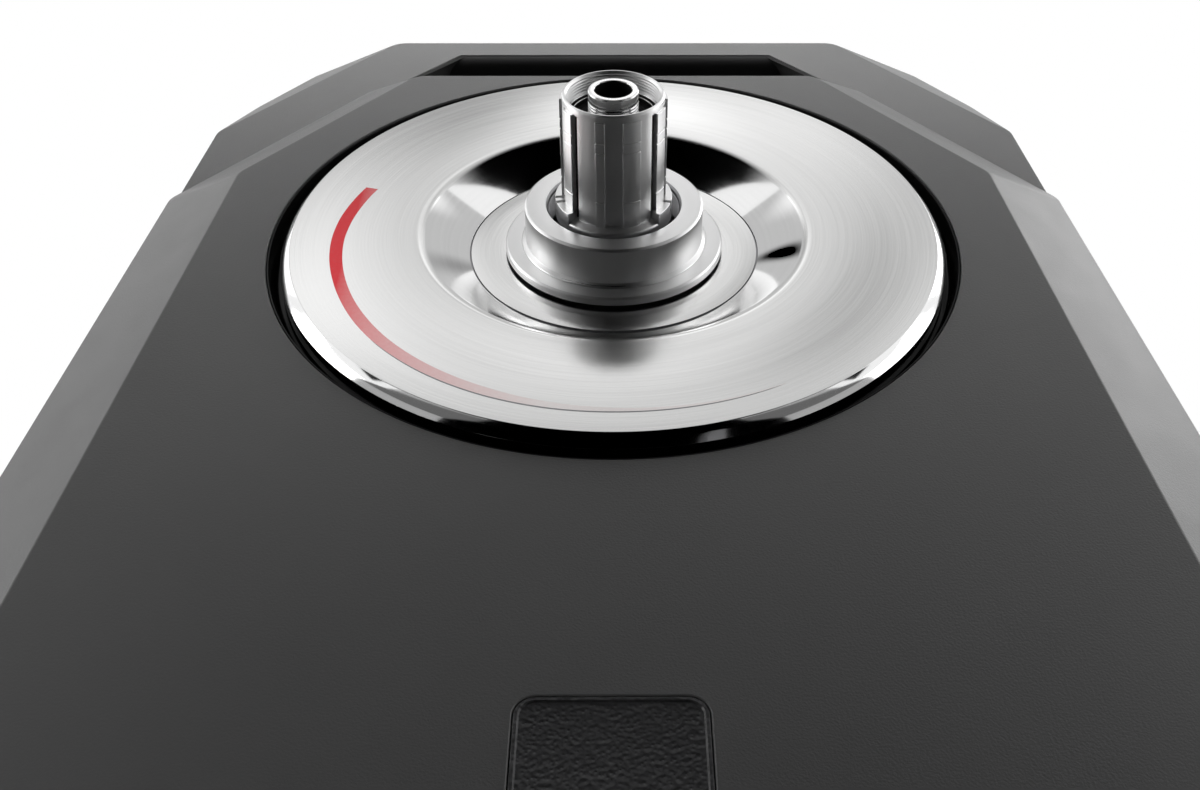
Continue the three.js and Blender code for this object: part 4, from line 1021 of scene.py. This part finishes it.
# Material and width of the rounded edges
KEPT = {
    "non_drive_cover": (body_grey, 0.7), "power_inlet": (gloss_black, 0.3),
    "controller_board": (board_green, 0.2), "rotor_bell": (bell_steel, 0.4),
    "magnet_ring": (magnet_grey, 0.3), "ratchet_ring": (dark_steel_and_shade, 0.15),
    "stator_core": (core_steel, 0.2), "stator_winding": (copper, 0.6),
    "stator_mount": (alloy, 0.5), "axle_carrier": (alloy, 0.6), "axle": (hub_bright, 0.2),
    "axle_end_cap_rear": (hub_bright, 0), "hub_bearing_drive": (dark_steel_and_shade, 0.2),
    "hub_bearing_rear": (dark_steel_and_shade, 0.2), "freehub_bearing_inner": (dark_steel_and_shade, 0.2),
    "freehub_bearing_outer": (dark_steel_and_shade, 0.2), "base_beam": (base_black, 0.6),
    "rear_crossbar": (leg_grey, 0.8),
}
for side in SIDES:
    KEPT["crossbar_cap_" + side] = (rubber_black, 1.2)
    KEPT["leg_bracket_" + side] = (base_black, 0.6)
    KEPT["hinge_bolt_" + side] = (dark_steel_and_shade, 0.4)
    KEPT["leg_" + side] = (leg_grey, 0.8)
    for place in FOOT_PLACES:
        KEPT["foot_stud_%s_%s" % (place, side)] = (dark_steel_and_shade, 0.3)
for number in range(1, 7):
    KEPT["cover_screw_%d" % number] = (dark_steel_and_shade, 0.25)
for number in range(1, 4):
    KEPT["pawl_%d" % number] = (dark_steel_and_shade, 0.15)

for name, (material, width) in KEPT.items():
    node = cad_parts[name]
    node.data.materials.clear()
    node.data.materials.append(material)
    weld = node.modifiers.new("weld", "WELD")
    weld.merge_threshold = WELD_DISTANCE * MM
    if width:
        merge = node.modifiers.new("merge", "DECIMATE")
        merge.decimate_type = "DISSOLVE"
        merge.angle_limit = MERGE_ANGLE
    soften(node, width, 2)
    node.data.shade_flat()


# Stage, lights and camera

# Camera: angles in degrees, its place in millimetres
VIEW = {
    "pitch": 39.185, "yaw": 0.292, "roll": 0.114, "place": (1.914, -262.234, -51.923),
    "focal_pixels": 1337.08, "shift_pixels": -25.0, "picture_width": 1200,
    "sensor": 36.0, "nearest": 0.005, "farthest": 50.0,
}
# Height of the ceiling card, and the soft round patches on it: (x, y, radius, amount)
CEILING = 2.6
CEILING_SPOTS = [
    (-0.40, -1.10, 0.45, -0.25), (0.38, -1.12, 0.5, 0.50), (-0.70, -1.60, 0.55, 0.55),
    (-1.05, -2.00, 0.7, 0.85), (1.05, -2.00, 0.6, 0.90), (0.0, -1.15, 0.35, 0.9),
    (-0.25, -1.60, 0.45, 0.25), (0.25, -1.60, 0.45, 0.20), (0.0, -2.00, 0.5, 0.50),
    (0.62, -1.70, 0.4, -0.25), (-2.05, 0.0, 0.6, -0.20), (0.28, 0.28, 0.45, 0.40),
    (0.62, -0.35, 0.35, -0.25), (-0.76, -0.60, 0.25, -0.80), (-0.63, -0.52, 0.15, -0.30),
]
# Wedge of the floor on the right, as (x, y)
WEDGE = [(0.4, -0.72), (5.2, -4.6), (5.7, -2.4), (0.4, -0.3)]
# Panels and windows beside the trainer: (side, x, brightness of the panel, of the window)
SIDE_CARDS = [("right", 1.9, 2.2, 2.7), ("left", -1.9, 3.2, 1.3)]
# A window hangs at this share of its panel's x
WINDOW_SHARE = 0.65
# Lamps: (name, place, target, size, brightness where 1 is white)
LAMPS = [
    ("lamp_top", (0.0, -0.10, 0.65), (0.0, -0.02, 0.50), (0.7, 0.08), 27.0),
    ("lamp_right", (0.6, -0.05, 0.60), (0.1, -0.02, 0.38), (0.3, 0.3), 12.0),
    ("lamp_left", (-0.6, -0.05, 0.75), (-0.1, -0.02, 0.42), (0.3, 0.3), 8.0),
    ("lamp_back", (0.0, 1.4, 1.1), (0.0, 0.0, 0.3), (1.4, 0.9), 1.6),
]


def quad(name, corners, material):
    """One flat face with a material."""
    mesh = bpy.data.meshes.new(name)
    mesh.from_pydata(corners, [], [(0, 1, 2, 3)])
    mesh.materials.append(material)
    return new_object(name, mesh)


def make_floor(half=6.0):
    """Pale floor that shows from above and lets the low camera look through from below."""
    made = Shader("floor_white", (0.86, 0.86, 0.86), 0.9, Specular_IOR_Level=0.0,
                  Emission_Color=(1.0, 1.0, 1.0, 1.0))
    reach = made.node("VectorMath", operation="LENGTH")
    made.link(made.place(), reach.inputs[0])
    fade = made.faded(reach.outputs["Value"], 0.35, 1.3, 0.3, 1.0)
    seen = made.node("LightPath").outputs["Is Camera Ray"]
    made.link(made.math("MULTIPLY", seen, fade), made.bsdf.inputs["Emission Strength"])
    below = made.node("NewGeometry").outputs["Backfacing"]
    mix = made.mixed(below, made.bsdf, made.node("BsdfTransparent"))
    made.link(mix.outputs[0], made.tree.nodes["Material Output"].inputs[0])
    floor = quad("floor", flat((-half, half), (-half, half), 0), made.material)


def upright(x, y, z):
    """Corners of a card across the drive side's view, between two x and two z."""
    return [(x[0], y, z[0]), (x[1], y, z[0]), (x[1], y, z[1]), (x[0], y, z[1])]


def flat(x, y, z):
    """Corners of a level card between two x and two y."""
    return [(x[0], y[0], z), (x[1], y[0], z), (x[1], y[1], z), (x[0], y[1], z)]


def sideways(x, y, z):
    """Corners of a card beside the trainer, between two y and two z."""
    return [(x, y[0], z[0]), (x, y[1], z[0]), (x, y[1], z[1]), (x, y[0], z[1])]


def card(name, corners, shade, ramp=None, spots=()):
    """Studio card that only shows in reflections.

    shade is its brightness, ramp = (axis, start, end, brightness after the end) changes it along
    an axis, and each of spots = (point, radius, amount) adds or takes away a soft round patch.
    """
    material = bpy.data.materials.new(name)
    material.use_nodes = True
    made = Nodes(material.node_tree)
    made.tree.nodes.clear()
    level = made.node("Value").outputs[0]
    level.default_value = shade
    if ramp:
        axis, start, end, after = ramp
        level = made.faded(made.axes(made.place())[axis], start, end, shade, after)
    for point, radius, amount in spots:
        reach = made.node("VectorMath", operation="DISTANCE")
        made.link(made.place(), reach.inputs[0])
        reach.inputs[1].default_value = point
        patch = made.faded(reach.outputs["Value"], 0.0, radius, amount, 0.0)
        level = made.math("ADD", level, patch)
    glow = made.node("Emission")
    made.link(level, glow.inputs["Strength"])
    made.link(glow.outputs[0], made.node("OutputMaterial").inputs["Surface"])
    obj = quad(name, corners, material)
    obj.visible_camera = False
    obj.visible_diffuse = False
    obj.visible_shadow = False
    obj.visible_transmission = False


def lamp(name, centre, target, size, radiance):
    """Area lamp that doesn't show in reflections."""
    light = bpy.data.lights.new(name, "AREA")
    light.shape = "RECTANGLE"
    light.size, light.size_y = size
    light.energy = math.pi * size[0] * size[1] * radiance
    obj = new_object(name, light)
    obj.location = centre
    aim = Vector(target) - Vector(centre)
    obj.rotation_euler = aim.to_track_quat("-Z", "Y").to_euler()
    obj.visible_glossy = False


def make_world():
    """White to the camera, in reflections and through clear things, and a dim fill otherwise."""
    world = bpy.data.worlds.new("studio")
    bpy.context.scene.world = world
    world.use_nodes = True
    made = Nodes(world.node_tree)
    made.tree.nodes.clear()
    rays = made.node("LightPath").outputs
    seen = made.math("MAXIMUM", rays["Is Camera Ray"], rays["Is Glossy Ray"])
    clear = made.math("MAXIMUM", seen, rays["Is Transmission Ray"])
    white = made.node("Background", Color=(1, 1, 1, 1))
    fill = made.node("Background", Color=(1, 1, 1, 1), Strength=0.04)
    mix = made.mixed(clear, fill, white)
    made.link(mix.outputs[0], made.node("OutputWorld").inputs["Surface"])


def make_camera():
    """The photograph's view: low in front of the drive side, looking up along the face."""
    pitch, yaw, roll = (math.radians(VIEW[angle]) for angle in ("pitch", "yaw", "roll"))
    ahead = Vector((math.sin(yaw) * math.cos(pitch), math.sin(pitch),
                    math.cos(yaw) * math.cos(pitch)))
    level_right = ahead.cross(Vector((0, -1, 0))).normalized()
    level_up = level_right.cross(ahead)
    right = level_right * math.cos(roll) + level_up * math.sin(roll)
    up = level_up * math.cos(roll) - level_right * math.sin(roll)
    camera = bpy.data.cameras.new("camera")
    camera.sensor_width = VIEW["sensor"]
    camera.lens = VIEW["sensor"] * VIEW["focal_pixels"] / VIEW["picture_width"]
    camera.shift_x = VIEW["shift_pixels"] / VIEW["picture_width"]
    camera.clip_start = VIEW["nearest"]
    camera.clip_end = VIEW["farthest"]
    obj = new_object("camera", camera)
    basis = Matrix((right, up, -ahead)).transposed().to_4x4()
    obj.matrix_world = Matrix.Translation(Vector(VIEW["place"]) * MM) @ basis
    bpy.context.scene.camera = obj


make_floor()
make_world()
make_camera()
card("flag_front", upright((-0.57, 0.57), -0.95, (0.004, 1.4)), 0.0, ("Z", 0.85, 1.25, 0.75))
card("floor_glow", flat((-6.0, 6.0), (-6.0, -0.2), 0.002), 0.4)
card("flag_low", flat((-0.42, 0.42), (-1.1, 0.0), 0.003), 0.0)
for name, way in zip(SIDES, (1, -1)):
    card("flag_wing_" + name, upright(sorted((way * 0.57, way * 1.3)), -0.95, (0.3, 0.5)), 0.0)
    card("flag_wedge_" + name, [(way * x, y, 0.003) for x, y in WEDGE], 0.14)
card("ceiling", flat((-2.6, 2.6), (-2.35, 3.0), CEILING), 0.58, spots=[
    ((x, y, CEILING), radius, amount) for x, y, radius, amount in CEILING_SPOTS])
for name, x, panel, window in SIDE_CARDS:
    card("panel_" + name, sideways(x, (-1.0, 0.9), (0.2, 1.3)), panel)
    card("window_" + name, sideways(x * WINDOW_SHARE, (-0.5, 1.5), (1.1, 2.55)), window)
for values in LAMPS:
    lamp(*values)

bpy.context.scene.view_settings.view_transform = "Standard"
